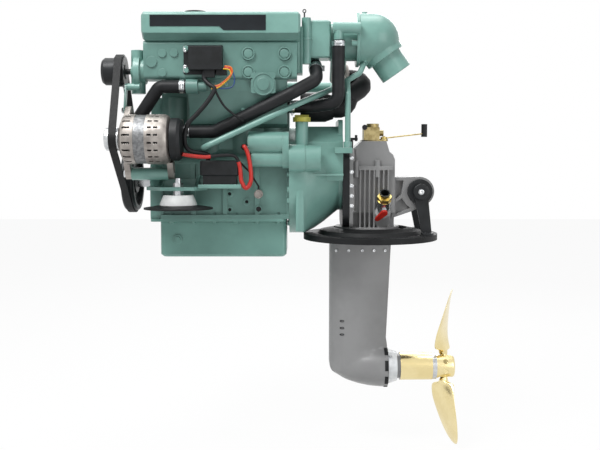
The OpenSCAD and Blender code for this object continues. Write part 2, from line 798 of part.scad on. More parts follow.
module fuse_box() {
	lid = 0.36*fuse_h;
	color(black) {
		soft_box([fuse_x, fuse_y, fuse_z+lid], [fuse_x+fuse_l, fuse_y+fuse_w, fuse_z+fuse_h], wall,
			wall/3);
		block([fuse_x+wall, fuse_y+wall/2, fuse_z],
			[fuse_x+fuse_l-wall, fuse_y+fuse_w-wall/2, fuse_z+lid+wall/2]);
	}
}

// Alternator
rear_shell_l = alternator_l-front_shell_l-stator_l;
alt_end = alt_x+alternator_l;
slot_w = 5.5;

module shell_slots(x0, x1) {
	for (i = [0:slot_count-1]) translate([0, alt_y, alt_z]) rotate([360*(i+0.5)/slot_count, 0, 0])
		block([x0, alternator_r-3*alt_wall, -slot_w/2], [x1, alternator_r+cut, slot_w/2]);
}

// Half of the alternator's case as radius against X, with its end wall at the open side's far end
module shell(x_wall, x_open, bore) {
	s = x_open > x_wall ? 1 : -1;
	r = alternator_r;
	lathe_x([0, alt_y, alt_z], [
		[bore, x_wall], [0.7*r, x_wall], [0.93*r, x_wall+s*0.1*r], [r, x_wall+s*0.24*r], [r,
			x_open],
		[r-alt_wall, x_open], [r-alt_wall, x_wall+s*(0.24*r+alt_wall/2)],
		[0.7*r-alt_wall/2, x_wall+s*1.4*alt_wall], [bore, x_wall+s*1.4*alt_wall]]);
}

module alternator_housings() {
	front_open = alt_x+front_shell_l;
	rear_open = front_open+stator_l;
	color(alloy) difference() {
		union() {
			shell(alt_x, front_open, alt_shaft_r+run_fit);
			shell(alt_end, rear_open, alt_shaft_r+run_fit);
			for (x = [alt_x+2*seat, alt_end-ear_t]) difference() {
				strip_x([x, alt_y+0.2*alternator_r, alt_z-0.6*alternator_r], [x, pivot_y, pivot_z],
					ear_r, ear_t);
				rod_x(x-cut, x+ear_t+cut, alt_y, alt_z, alternator_r-alt_wall/2);
			}
			difference() {
				strip_x([alt_x+2*seat, alt_y+0.3*alternator_r, alt_z+0.7*alternator_r],
					[alt_x, top_ear_y, top_ear_z], 0.8*ear_r, ear_t);
				rod_x(alt_x-cut, alt_x+2*ear_t, alt_y, alt_z, alternator_r-alt_wall/2);
			}
		}
		shell_slots(alt_x+0.26*front_shell_l, alt_x+0.8*front_shell_l);
		shell_slots(rear_open+0.12*rear_shell_l, rear_open+0.3*rear_shell_l);
		shell_slots(rear_open+0.38*rear_shell_l, rear_open+0.56*rear_shell_l);
		rod_x(alt_x-cut, alt_end+cut, pivot_y, pivot_z, pivot_r+run_fit);
		rod_x(alt_x-cut, alt_x+2*ear_t, top_ear_y, top_ear_z, bolt_r+run_fit);
	}
}

module alternator_stator() {
	x0 = alt_x+front_shell_l;
	color("#77797B") difference() {
		rod_x(x0, x0+stator_l, alt_y, alt_z, alternator_r-alt_wall*0.3);
		rod_x(x0-cut, x0+stator_l+cut, alt_y, alt_z, rotor_r+alt_wall/2);
	}
}

module alternator_cover() {
	r = 0.86*alternator_r;
	color(black) lathe_x([alt_end, alt_y, alt_z], [[0, 0], [r, 0], [r, 0.7*alt_cover_l], [0.9*r,
		alt_cover_l], [0, alt_cover_l]]);
}

module alternator_rotor() {
	x0 = alt_x+2.4*alt_wall;
	x1 = alt_end-2.4*alt_wall;
	color(steel) {
		rod_x(belt_x-1.3*belt_w, alt_end-seat, alt_y, alt_z, alt_shaft_r);
		rod_x(x0+1.5*alt_wall, x1-1.5*alt_wall, alt_y, alt_z, rotor_r);
		for (x = [x0, x1-1.6*alt_wall]) translate([0, alt_y, alt_z]) along_x(x, x+1.6*alt_wall)
			polygon([for (i = [0:19]) rotor_r*(i % 2 == 0 ? 0.95 : 0.6)*[cos(18*i), sin(18*i)]]);
	}
}

module alternator_pulley() {
	r = alternator_pulley_r;
	color(steel) lathe_x([belt_x, alt_y, alt_z], concat([[alt_shaft_r+run_fit, -1.2*belt_w], [0.8*r,
		-1.2*belt_w], [r, -belt_w],
			[r, -belt_w/2-rim_w]], rim_points(r, belt_w),
			[[2*alt_shaft_r, belt_w/2+rim_w], [alt_shaft_r+run_fit, belt_w/2+rim_w]]));
}

// Strut that sets the belt's tension
strut_t = 5;
strut_x = alt_x+2*seat-strut_t;

module alternator_bracket() {
	x0 = alt_x+2*seat+ear_t+seat;
	x1 = alt_end-ear_t-seat;
	arm_w = 1.4*ear_r;
	color(green) difference() {
		union() {
			rod_x(x0, x1, pivot_y, pivot_z, 1.15*ear_r);
			block([case_x+seat, pivot_y, pivot_z-0.8*ear_r], [case_x+seat+arm_w, -half_case,
				pivot_z+0.8*ear_r]);
			block([x1-arm_w, pivot_y, pivot_z-0.8*ear_r], [x1, -half_case, pivot_z+0.8*ear_r]);
		}
		rod_x(x0-cut, x1+cut, pivot_y, pivot_z, pivot_r+run_fit);
	}
	color(green) difference() {
		strip_x([strut_x, arm_ear_y, arm_ear_z], [strut_x, top_ear_y, top_ear_z], 0.6*ear_r, strut_t);
		rod_x(strut_x-cut, strut_x+strut_t+cut, top_ear_y, top_ear_z, bolt_r+run_fit);
		rod_x(strut_x-cut, strut_x+strut_t+cut, arm_ear_y, arm_ear_z, bolt_r+run_fit);
	}
}

starter_x = bell_x-starter_l;

module starter_motor() {
	color(green) {
		rod_x(starter_x, bell_x-2.2*wall, starter_y, starter_z, starter_r);
		rod_x(starter_x-0.3*wall, starter_x, starter_y, starter_z, 0.86*starter_r);
		rod_x(starter_x+wall, bell_x-2.2*wall, motor_y, motor_z, motor_r);
		along_x(bell_x-2.2*wall, bell_x) polygon(concat(
			arc_points(starter_y, starter_z, starter_r, 0, 180), arc_points(motor_y, motor_z, motor_r*1.2,
				180, 360)));
	}
	for (y = [-0.35, 0.45]) color(steel)
		rod_x(starter_x-2.5*wall, starter_x-0.3*wall, starter_y+y*starter_r,
			starter_z-0.45*starter_r, wall/2);
}

module bell_housing() {
	flange_end = bell_x+bell_flange_t;
	end_t = wall*1.5;
	top_w = 0.75*bell_r;
	lug_z = crank_z+0.55*bell_r;
  // Radius against length of the bowl, as shares of the bell's radius and length
	bowl_shares = [[1, 0], [0.905, 0.27], [0.785, 0.52], [0.57, 0.9], [0.57, 1]];
	bowl_l = bell_l-bell_flange_t;
	color(green) difference() {
		union() {
			along_x(bell_x, flange_end) translate([0, crank_z]) {
				circle(bell_r, $fn=fine);
				translate([motor_y, motor_z-crank_z]) circle(motor_r*1.6, $fn=fine);
				translate([-0.3*bell_r, -0.9*bell_r]) square([0.6*bell_r, 0.3*bell_r]);
			}
			lathe_x([flange_end, 0, crank_z], concat([[0, 0]], [for (s = bowl_shares) [s[0]*bell_r,
				s[1]*bowl_l]], [[0, bowl_l]]));
			along_x(flange_end-wall, bell_end) polygon([[-top_w, crank_z], [top_w, crank_z], [top_w,
				crank_z+0.7*bell_r],
				[0.6*top_w, bell_top], [-0.6*top_w, bell_top], [-top_w, crank_z+0.7*bell_r]]);
			along_x(bell_end-1.6*wall, bell_end) polygon(round_rect(-0.6*bell_r, crank_z, 0.6*bell_r,
				bell_top+0.12*bell_r, 2*wall));
			rod_x(flange_end, flange_end+0.4*bowl_l, motor_y, motor_z, motor_r*1.5);
			block([flange_end, -0.92*bell_r, crank_z+0.1*bell_r], [bell_end, 0.92*bell_r,
				crank_z+0.13*bell_r]);
			block([bell_end-3*wall, riser_y-1.6*pipe_r, lug_z-wall], [riser_x+1.6*pipe_r, wall-top_w,
				lug_z+wall]);
			rod_z(filler_x, filler_y, crank_z+0.6*bell_r, filler_z+filler_h, filler_r);
		}
		lathe_x([0, 0, crank_z], concat([[0, bell_x-cut], [bell_r-wall, bell_x-cut]],
				[for (s = bowl_shares) [s[0]*bell_r-(s[1] < 0.95 ? wall : 1.8*wall),
					flange_end-end_t*s[1]+s[1]*bowl_l]],
				[[0, bell_end-end_t]]));
		rod_x(bell_end-2*end_t, bell_end+cut, 0, crank_z, 0.3*bell_r);
		rod_z(filler_x, filler_y, crank_z+0.75*bell_r, filler_z+filler_h+cut, filler_r-wall/2);
		for (p = bell_bolts) place(p) bolt_hole();
	}
}

module adapter_plate() {
	r = 0.25*bell_r;
	color(black) along_x(adapter_x, gearcase_x) difference() {
		polygon(round_rect(-0.63*bell_r, crank_z-0.86*bell_r, 0.63*bell_r, crank_z+0.6*bell_r, r));
		translate([0, crank_z]) circle(0.3*bell_r, $fn=fine);
	}
}

// Water-cooled exhaust manifold under the heat exchanger
manifold_x = front_x+86;
manifold_end = block_end-5;
inlet_x = manifold_x-2;
inlet_y = -188;
inlet_z = cooler_z-21;
aft_hose_y = -112;
aft_hose_z = cooler_z-71;

module exhaust_manifold() {
	inner = 1.11*half_w;
	hatch_x0 = cooler_x+hatch_shares[0]*cooler_l;
	hatch_x1 = cooler_x+hatch_shares[1]*cooler_l;
	color(green) difference() {
		union() {
			along_x(manifold_x, manifold_end) polygon([[-half_w, cooler_z], [0.96*cooler_y, cooler_z],
				[0.92*cooler_y, cooler_z-0.3*cooler_h], [0.72*cooler_y, cooler_z-1.16*cooler_h],
				[-inner, cooler_z-1.26*cooler_h], [-inner, deck_z], [-half_w, deck_z]]);
			along_y(cooler_y-0.08*cooler_w, -inner-cut) polygon(round_rect(hatch_x0,
				cooler_z-0.38*cooler_h,
				hatch_x1, cooler_z, 0.1*(hatch_x1-hatch_x0)));
			rod_x(inlet_x, inlet_x+4*wall, inlet_y, inlet_z, 1.15*hose_r);
			rod_x(inlet_x, inlet_x+7*wall, inlet_y, inlet_z, 0.75*hose_r);
			block([inlet_x+2*wall, inlet_y, inlet_z-0.6*hose_r],
				[inlet_x+10*wall, 0.8*cooler_y, inlet_z+0.6*hose_r]);
			rod_x(inlet_x-spigot_l, inlet_x, inlet_y, inlet_z, spigot_r);
			rod_x(manifold_end-cut, manifold_end+spigot_l, aft_hose_y, aft_hose_z, spigot_r);
		}
		rod_y((hatch_x0+hatch_x1)/2, cooler_y-0.08*cooler_w-cut, cooler_y-0.04*cooler_w,
			cooler_z-0.13*cooler_h, 0.2*(hatch_x1-hatch_x0));
	}
}

// Turbocharger
turbo_x = cooler_x+cooler_l+13;
turbo_l = 82;
turbo_y = -152;
turbo_w = 100;
turbo_z = head_z+15;
turbo_h = 104;
post2_r = 13;
comp_x = turbo_x+92;
comp_y = 25;
comp_z = head_z-30;
comp_r = 47;
comp_l = 50;
inlet_r = 27;
long_end = [turbo_x+39, -124, head_z-13];
long_root = [turbo_x+36, -84, head_z+21];

module turbocharger() {
	hub_y = elbow_y;
	volute_x = turbo_x+turbo_l;
	color(green) {
		soft_box([turbo_x+1.6*post2_r, turbo_y+post2_r, turbo_z], [turbo_x+turbo_l,
			turbo_y+turbo_w, turbo_z+turbo_h], wall, wall/2);
		rod_z(turbo_x+post2_r, turbo_y+post2_r, turbo_z-0.17*turbo_h, turbo_z+1.05*turbo_h,
			post2_r);
		rod_z(turbo_x+post2_r, turbo_y+post2_r, turbo_z+0.47*turbo_h, turbo_z+0.52*turbo_h,
			1.2*post2_r);
		block([turbo_x-seat, turbo_y+post2_r, turbo_z+0.05*turbo_h],
			[turbo_x+1.7*post2_r, -half_w, turbo_z+0.35*turbo_h]);
		rod_x(volute_x-cut, elbow_start, hub_y, elbow_z-0.1*elbow_r, 0.72*elbow_r);
		translate([volute_x+0.35*(elbow_start-volute_x), hub_y, elbow_z-0.1*elbow_r]) rotate([0,
			90, 0])
			rotate_extrude($fn=fine) translate([0.6*elbow_r, 0]) circle(0.2*elbow_r, $fn=coarse);
		bar(long_root, long_end-0.2*(long_root-long_end), spigot_r);
	}
	color(alloy) difference() {
		union() {
			lathe_x([comp_x, comp_y, comp_z], concat([[0, 0]], arc_points(0.62*comp_r, comp_l/2, comp_l/2, -90,
				90), [[0,
					comp_l]]));
			rod_y(comp_x+comp_l/2, comp_y, comp_y+1.3*comp_r, comp_z-0.2*head_h, 0.26*head_h);
			bar([comp_x+0.3*comp_l, comp_y, comp_z], [comp_x+0.3*comp_l, hub_y,
				elbow_z-0.6*elbow_r], 0.5*comp_r);
			rod_x(comp_x+comp_l-cut, comp_x+comp_l+0.5*inlet_r, comp_y, comp_z, inlet_r);
		}
		rod_x(comp_x+comp_l-inlet_r, comp_x+2*comp_l, comp_y, comp_z, inlet_r-wall/2);
		rod_x(volute_x-cut, elbow_start, hub_y, elbow_z-0.1*elbow_r, 0.72*elbow_r+seat);
	}
}

// Water-injected exhaust elbow
outlet_dir = [cos(outlet_tilt), 0, -sin(outlet_tilt)];
elbow_at = [elbow_x, elbow_y, elbow_z];
stub_y = -142;
stub_z = head_z+97;
stub_x = elbow_start-69;
stub_r = 15.5;
aft_top = stub_z-2.2*stub_r;

module exhaust_elbow() {
	d = outlet_dir;
	dome_x = elbow_x-elbow_start;
	spigot_top_x = stub_x+stub_r;
	color(green) difference() {
		union() {
			lathe_x([elbow_start, elbow_y, elbow_z], concat([[0, 0], [elbow_r*1.05, 0], [elbow_r*1.05, wall],
				[elbow_r, 1.2*wall]],
					arc_points(0, dome_x, elbow_r, 0, 90, 2*steps)));
			bar(elbow_at, elbow_at+d*outlet_start, neck_r+wall/2, neck_r);
			bar(elbow_at, elbow_at+d*(outlet_start+outlet_l), outlet_r);
			bar(elbow_at, elbow_at+steel_dir*(elbow_r+wall), 1.4*pipe_r);
			rod_x(stub_x, elbow_start+wall, stub_y, stub_z, stub_r);
			rod_z(spigot_top_x, stub_y, aft_top-spigot_l*0.8, stub_z, spigot_r);
			rod_x(elbow_start-2*wall, elbow_start+wall, elbow_y-0.9*elbow_r,
				elbow_z-0.25*elbow_r, wall);
			rod_z(elbow_x-0.35*elbow_r, elbow_y, elbow_z+0.9*elbow_r, elbow_z+1.05*elbow_r, wall);
		}
		bar(elbow_at, elbow_at+d*(outlet_start+outlet_l+cut), outlet_r-outlet_wall);
	}
}

// Air filter and the duct that feeds the turbocharger
filter_x = bell_x+32;
filter_l = 96;
filter_y = -45;
filter_z = crank_z+212;
filter_r = 42;
duct_r = 28;
duct_bend = 30;
duct_route = [[comp_x+comp_l+2*seat, comp_y, comp_z], [comp_x+comp_l+76, comp_y, comp_z],
	[comp_x+comp_l-4, comp_y-65, comp_z-55], [comp_x+comp_l-12, filter_y, filter_z-6],
	[filter_x+filter_l-wall, filter_y, filter_z]];

module air_intake() {
	color(black) {
		lathe_x([filter_x, filter_y, filter_z], [[0, 0], [0.9*filter_r, 0], [filter_r, 0.1*filter_l],
			[filter_r, 0.75*filter_l],
				[0.8*filter_r, filter_l], [0, filter_l]]);
		difference() {
			route(duct_route, duct_r, duct_bend);
			rod_x(comp_x, comp_x+comp_l+0.5*inlet_r+seat, comp_y, comp_z, inlet_r+seat);
		}
	}
}

// Charge air manifold on the starboard side, with the pipe from the compressor
module intake_manifold() {
	pipe = 0.2*head_h;
	x1 = block_end-0.05*block_l;
	color(green) {
		soft_box([front_x+0.1*block_l, 1.2*half_w, deck_z+0.1*head_h], [x1, 1.75*half_w,
			head_z], wall, wall/2);
		for (i = [0:3]) {
			middle = front_x+bore_pitch*(i+0.5);
			block([middle-0.22*bore_pitch, half_w, deck_z+0.24*head_h],
				[middle+0.22*bore_pitch, 1.3*half_w, deck_z+0.58*head_h]);
		}
		route([[x1-wall, 1.45*half_w, comp_z-pipe], [comp_x+comp_l/2, 1.45*half_w, comp_z-pipe],
			[comp_x+comp_l/2, comp_y+1.3*comp_r+seat, comp_z-pipe]], pipe, 1.8*pipe, 20);
	}
}

fuel_x = front_x+0.13*block_l;
fuel_l = 0.36*block_l;
fuel_z = crank_z+112;
fuel_h = 70;
fuel_w = 72;
lever_x = fuel_x+0.8*fuel_l;
lever_z = fuel_z+0.5*fuel_h;

module injection_pump() {
	top = fuel_z+fuel_h;
	y = half_w+0.55*fuel_w;
	far = half_w+1.1*fuel_w;
	color(alloy) {
		difference() {
			union() {
				block([fuel_x, side_y, fuel_z], [fuel_x+fuel_l, half_w+fuel_w, top]);
				rod_x(fuel_x+fuel_l, fuel_x+1.12*fuel_l, y, lever_z, 0.42*fuel_h);
				rod_y(lever_x, side_y, half_w+1.05*fuel_w, lever_z, 0.2*fuel_h);
			}
			rod_y(lever_x, half_w+0.6*fuel_w, half_w+2*fuel_w, lever_z, bolt_r+run_fit);
		}
		for (i = [0:3]) {
			x = fuel_x+fuel_l*(i+0.5)/4;
			middle = front_x+bore_pitch*(i+0.5);
			rod_z(x, y, top-cut, top+0.2*fuel_h, 0.12*fuel_h);
			route([[x, y, top], [x, y, top+0.35*fuel_h], [x, 1.85*half_w, top+0.45*fuel_h],
				[middle, 1.85*half_w, head_z+0.28*head_h], [middle, 1.05*half_w, head_z+0.28*head_h],
				[middle, 1.03*half_w, head_z+0.17*head_h]], 0.05*fuel_h, wall, 8);
		}
	}
}

module throttle_lever() {
	y0 = half_w+1.05*fuel_w+seat;
	arm = 0.75*fuel_h;
	color(steel) difference() {
		union() {
			rod_y(lever_x, half_w+0.65*fuel_w, y0+head_t*1.5, lever_z, bolt_r);
			along_y(y0, y0+head_t) translate([lever_x, lever_z]) polygon(concat(
				arc_points(0, 0, 2.2*bolt_r, -15, 195), arc_points(0, -arm, 1.6*bolt_r, 180, 360)));
		}
		rod_y(lever_x, y0-cut, y0+head_t+cut, lever_z-arm, 0.7*bolt_r);
	}
}

fuel_filter_x = front_x+0.66*block_l;
can_r = 38;
can_y = half_w+1.35*can_r;

module fuel_filter() {
	z0 = crank_z+0.42*deck_h;
	z1 = crank_z+0.86*deck_h;
	color(alloy) block([fuel_filter_x-0.8*can_r, side_y, z1-0.6*can_r],
		[fuel_filter_x+0.8*can_r, can_y, z1]);
	color(alloy) rod_z(fuel_filter_x, can_y, z1-0.6*can_r, z1, can_r);
	color(black) rod_z(fuel_filter_x, can_y, z0+0.2*can_r, z1-0.6*can_r, 0.94*can_r);
	color(black) rod_z(fuel_filter_x, can_y, z0, z0+0.2*can_r, 0.6*can_r, 0.94*can_r);
}

module oil_filter() {
	x = front_x+2.5*bore_pitch;
	z = crank_z-0.05*can_r;
	color(white) rod_y(x, half_case, half_case+0.35*can_r, z, 0.6*can_r);
	color(white) rod_y(x, half_case+0.35*can_r, half_case+2.6*can_r, z, can_r);
}

// Seawater pump behind its drive in the timing case
sea_r = 33;
sea_l = 66;
sea_out_y = sea_y-18;
sea_out_z = sea_z-2;

module seawater_pump() {
	color(alloy) {
		rod_x(front_x, front_x+0.3*sea_l, sea_y, sea_z, sea_r);
		rod_x(front_x+0.3*sea_l, front_x+0.8*sea_l, sea_y, sea_z, 0.88*sea_r);
		rod_x(front_x+0.8*sea_l, front_x+sea_l, sea_y, sea_z, sea_r);
		rod_x(front_x+0.8*sea_l, front_x+sea_l+0.8*spigot_l, sea_out_y, sea_out_z, spigot_r);
	}
}

// Corner points of the hoses and pipes
front_spigot_z = crank_z+130;
front_hose_route = [[inlet_x-seat, inlet_y, inlet_z], [front_x+10, inlet_y,
	inlet_z],
	[case_x-26, -165, crank_z+168], [case_x-50, sea_y, front_spigot_z], [case_x-seat, sea_y,
		front_spigot_z]];
long_hose_route = [[front_x+sea_l+seat, sea_out_y, sea_out_z], [front_x+156, sea_out_y, sea_out_z],
	[front_x+374, -188, head_z-86], [long_end[0]+3, long_end[1]-40, long_end[2]-34], long_end,
	long_end+0.35*(long_root-long_end)];
aft_hose_route = [[stub_x+stub_r, stub_y, aft_top], [stub_x+stub_r, stub_y, aft_hose_z+8],
	[front_x+430, aft_hose_y, aft_hose_z], [manifold_end+seat, aft_hose_y, aft_hose_z]];
hose_bend = 30;
spigot_fit = spigot_r+run_fit;

module front_hose() {
	color(black) difference() {
		route(front_hose_route, hose_r, 24);
		rod_x(inlet_x-2*spigot_l, inlet_x, inlet_y, inlet_z, spigot_fit);
		rod_x(case_x-1.2*clamp_w, case_x, sea_y, front_spigot_z, spigot_fit);
	}
}

module long_hose() {
	color(black) difference() {
		route(long_hose_route, hose_r, hose_bend);
		rod_x(front_x, front_x+sea_l+spigot_l, sea_out_y, sea_out_z, spigot_fit);
		bar(long_root, long_end-0.25*(long_root-long_end), spigot_fit);
	}
}

module aft_hose() {
	color(black) difference() {
		route(aft_hose_route, hose_r, hose_bend);
		rod_z(stub_x+stub_r, stub_y, aft_top-spigot_l, aft_top+cut, spigot_fit);
		rod_x(manifold_end, manifold_end+1.05*spigot_l, aft_hose_y, aft_hose_z, spigot_fit);
	}
}

riser_x = bell_end+1.5*wall;
riser_y = -0.84*bell_r;
riser_z = crank_z+0.55*bell_r+wall+seat;
steel_dir = unit([-0.36, -0.36, -0.86]);
steel_route = [[front_x+128, -side_y, crank_z+93], [front_x+128, -208, crank_z+93],
	[front_x+390, -172, crank_z+215], [front_x+488, -100, crank_z+261],
	elbow_at+steel_dir*(elbow_r+5*wall), elbow_at+steel_dir*(elbow_r+wall+seat)];
riser_route = [[riser_x, riser_y, riser_z], [riser_x, riser_y, crank_z+246], 0.46*steel_route[3]+0.54*steel_route[4]];

module steel_pipes() {
	color(green) {
		route(steel_route, pipe_r, 22, 16);
		route(riser_route, pipe_r, 12, 16);
		rod_z(riser_x, riser_y, riser_z, riser_z+2*pipe_r, 1.5*pipe_r);
	}
}

// A clamp with its screw round a hose at p, along d, with the screw on the side n
module clamp(p, d, n) {
	u = unit(d);
	side = unit(cross(u, n));
	out = hose_r+clamp_t+head_r*0.3;
	difference() {
		bar(p-u*clamp_w/2, p+u*clamp_w/2, hose_r+clamp_t);
		bar(p-u*clamp_w, p+u*clamp_w, hose_r+seat/2);
	}
	bar(p+unit(n)*out-side*head_r, p+unit(n)*out+side*head_r, 0.5*head_r);
}

module hose_clamps() {
	long_dir = long_root-long_end;
	color(steel) {
		clamp([inlet_x-0.8*clamp_w, inlet_y, inlet_z], [1, 0, 0], [0, -1, 0]);
		clamp([front_x+sea_l+clamp_w, sea_out_y, sea_out_z], [1, 0, 0], [0, 0, 1]);
		clamp(long_end, long_dir, [1, 0, 0]);
		clamp([stub_x+stub_r, stub_y, aft_top-0.7*clamp_w], [0, 0, 1], [0, -1, 0]);
		clamp([manifold_end+clamp_w, aft_hose_y, aft_hose_z], [1, 0, 0], [0, 0, -1]);
	}
}

// Cables
cable_r = 4;
plug_x = relay_x+0.68*relay_l;
loom_route = [[plug_x, cooler_y-12, relay_z-0.3*relay_h-2*seat], [plug_x, cooler_y-12, cooler_z-30],
	[front_x+112, -208, crank_z+205], [front_x+98, -214, crank_z+122], [front_x+112, -194, crank_z+74],
	[front_x+140, -178, crank_z+76], [front_x+140, -178, fuse_z+fuse_h+seat]];
plug_route = [[plug_x, cooler_y-12, cooler_z-22], [relay_x+0.95*relay_l, cooler_y-24, cooler_z-26],
	[relay_x+1.12*relay_l, cooler_y-14, cooler_z-14], [relay_x+relay_l, cooler_y-11, cooler_z-6],
	[relay_x+relay_l, cooler_y-11, relay_z-0.2*relay_h-2*seat]];
power_route = [[alt_end+alt_cover_l+0.6*cable_r, -252, crank_z+76], [front_x+140, -224, crank_z+72],
	[front_x+236, -212, crank_z+73], [front_x+236, -204, crank_z-12], [front_x+252, -200, crank_z-12],
	[front_x+244, -196, crank_z+70], [starter_x-1.5*wall, -190, starter_z-0.45*starter_r],
	[starter_x-1.5*wall, starter_y-0.35*starter_r-wall/2-seat, starter_z-0.45*starter_r]];
sensor_at = [front_x+279, -arm_root-seat, crank_z-36];
sensor_route = [[front_x+235, -204, crank_z+70], [front_x+256, -178, crank_z+26],
	[front_x+279, -148, crank_z-14], 	[front_x+279, -146, crank_z-30]];

module wiring() {
	color(black) route(loom_route, cable_r, 12, 12);
	color("#E0A010") route(plug_route, 0.8*cable_r, 5, 12);
	color(red) route(power_route, 1.3*cable_r, 8, 12);
	color(black) route(sensor_route, 0.7*cable_r, 8, 12);
	color(alloy) rod_y(sensor_at[0], sensor_at[1]-8*cable_r, sensor_at[1], sensor_at[2], 2.2*cable_r);
}

// Front mounts and the arms that rest on them
arm_x1 = front_x+0.37*block_l;

module mount_brackets() {
	gusset = 0.12*mount_y;
	color(green) for (s = [-1, 1]) scale([1, s, 1]) difference() {
		union() {
			along_z(bracket_z, bracket_z+bracket_t) polygon([[case_x, arm_root], [arm_x1, arm_root],
				[arm_x1, mount_y-gusset], [0.6*arm_x1, mount_y+gusset], [-0.6*arm_x1, mount_y+gusset],
				[case_x, mount_y-gusset]]);
			for (x = [front_x, arm_x1-0.09*block_l]) along_x(x, x+bracket_t)
				polygon([[arm_root, bracket_z], [mount_y-gusset, bracket_z+bracket_t], [arm_root,
					bracket_z+4*bracket_t]]);
			block([front_x, arm_root, bracket_z], [arm_x1, arm_root+bracket_t, bracket_z+3*bracket_t]);
		}
		rod_z(0, mount_y, bracket_z-cut, bracket_z+bracket_t+cut, stud_r+run_fit);
	}
}

module front_mounts() {
	for (s = [-1, 1]) scale([1, s, 1]) translate([0, mount_y, 0]) {
		color(black) difference() {
			rotate_extrude($fn=fine) polygon([[0, 0], [disc_r, 0], [disc_r, disc_edge], [cone_r, disc_t],
				[0, disc_t]]);
			for (x = [-1, 1]) rod_z(x*mount_pitch/2, 0, -cut, disc_t+cut, mount_hole_r);
			block([-disc_r, -mount_y, -cut], [disc_r, arm_root+3*seat-mount_y, disc_t+cut]);
		}
		color(white) rotate_extrude($fn=fine) polygon([[0, disc_t], [cone_r, disc_t], [cone_r,
			disc_t+0.1*cone_h],
			[cone_top_r, disc_t+cone_h], [0, disc_t+cone_h]]);
		color(steel) {
			rod_z(0, 0, disc_t, bracket_z+bracket_t+3*stud_r, stud_r);
			translate([0, 0, disc_t+cone_h]) cylinder(h = bracket_z-disc_t-cone_h, r = 1.8*stud_r,
				$fn = 6);
			translate([0, 0, bracket_z+bracket_t]) cylinder(h = 1.4*stud_r, r = 1.8*stud_r, $fn = 6);
		}
	}
}

module fasteners() {
	pivot_l = alternator_l+4*seat;
	hub_side = hub_w+4*leg_t;
	color(steel) {
		for (p = concat(bell_bolts, sump_bolts, head_bolts)) place(p) bolt();
		for (p = relay_bolts) place(p) bolt(relay_ear/5);
		translate([alt_x+2*seat, pivot_y, pivot_z]) rotate([0, 90, 0]) bolt(pivot_l-4*seat, pivot_r,
			1.6*pivot_r, pivot_r);
		translate([strut_x, top_ear_y, top_ear_z]) rotate([0, 90, 0]) bolt(strut_t+0.8*ear_t);
		translate([strut_x, arm_ear_y, arm_ear_z]) rotate([0, 90, 0]) bolt(strut_t-seat);
		for (s = [-1, 1]) translate([hub_x, s*rear_bolt_y, hub_z]) rotate([s*90, 0, 0]) bolt(wall,
			rear_bolt_r, 1.9*rear_bolt_r, 0.8*rear_bolt_r);
	}
}

// Upper gear housing
core_w = 0.84*gearcase_w/2;
fin_count = 6;
fin_x = gearcase_x+0.24*gearcase_l;
fin_top = crank_z+30;
hub_w = 56;
leg_t = 8; // thickness of the legs of the rear mount
leg_y = 70;
rear_bolt_y = leg_y+leg_t;
// Side outline of the housing, as shares of its length and of its height above the crankshaft
case_shares = [[0, 0.82], [0.1, 0.82], [0.18, 0.9], [0.27, 1], [0.81, 1], [0.88, 0.73], [0.955, 0.66],
	[1, 0.53]];

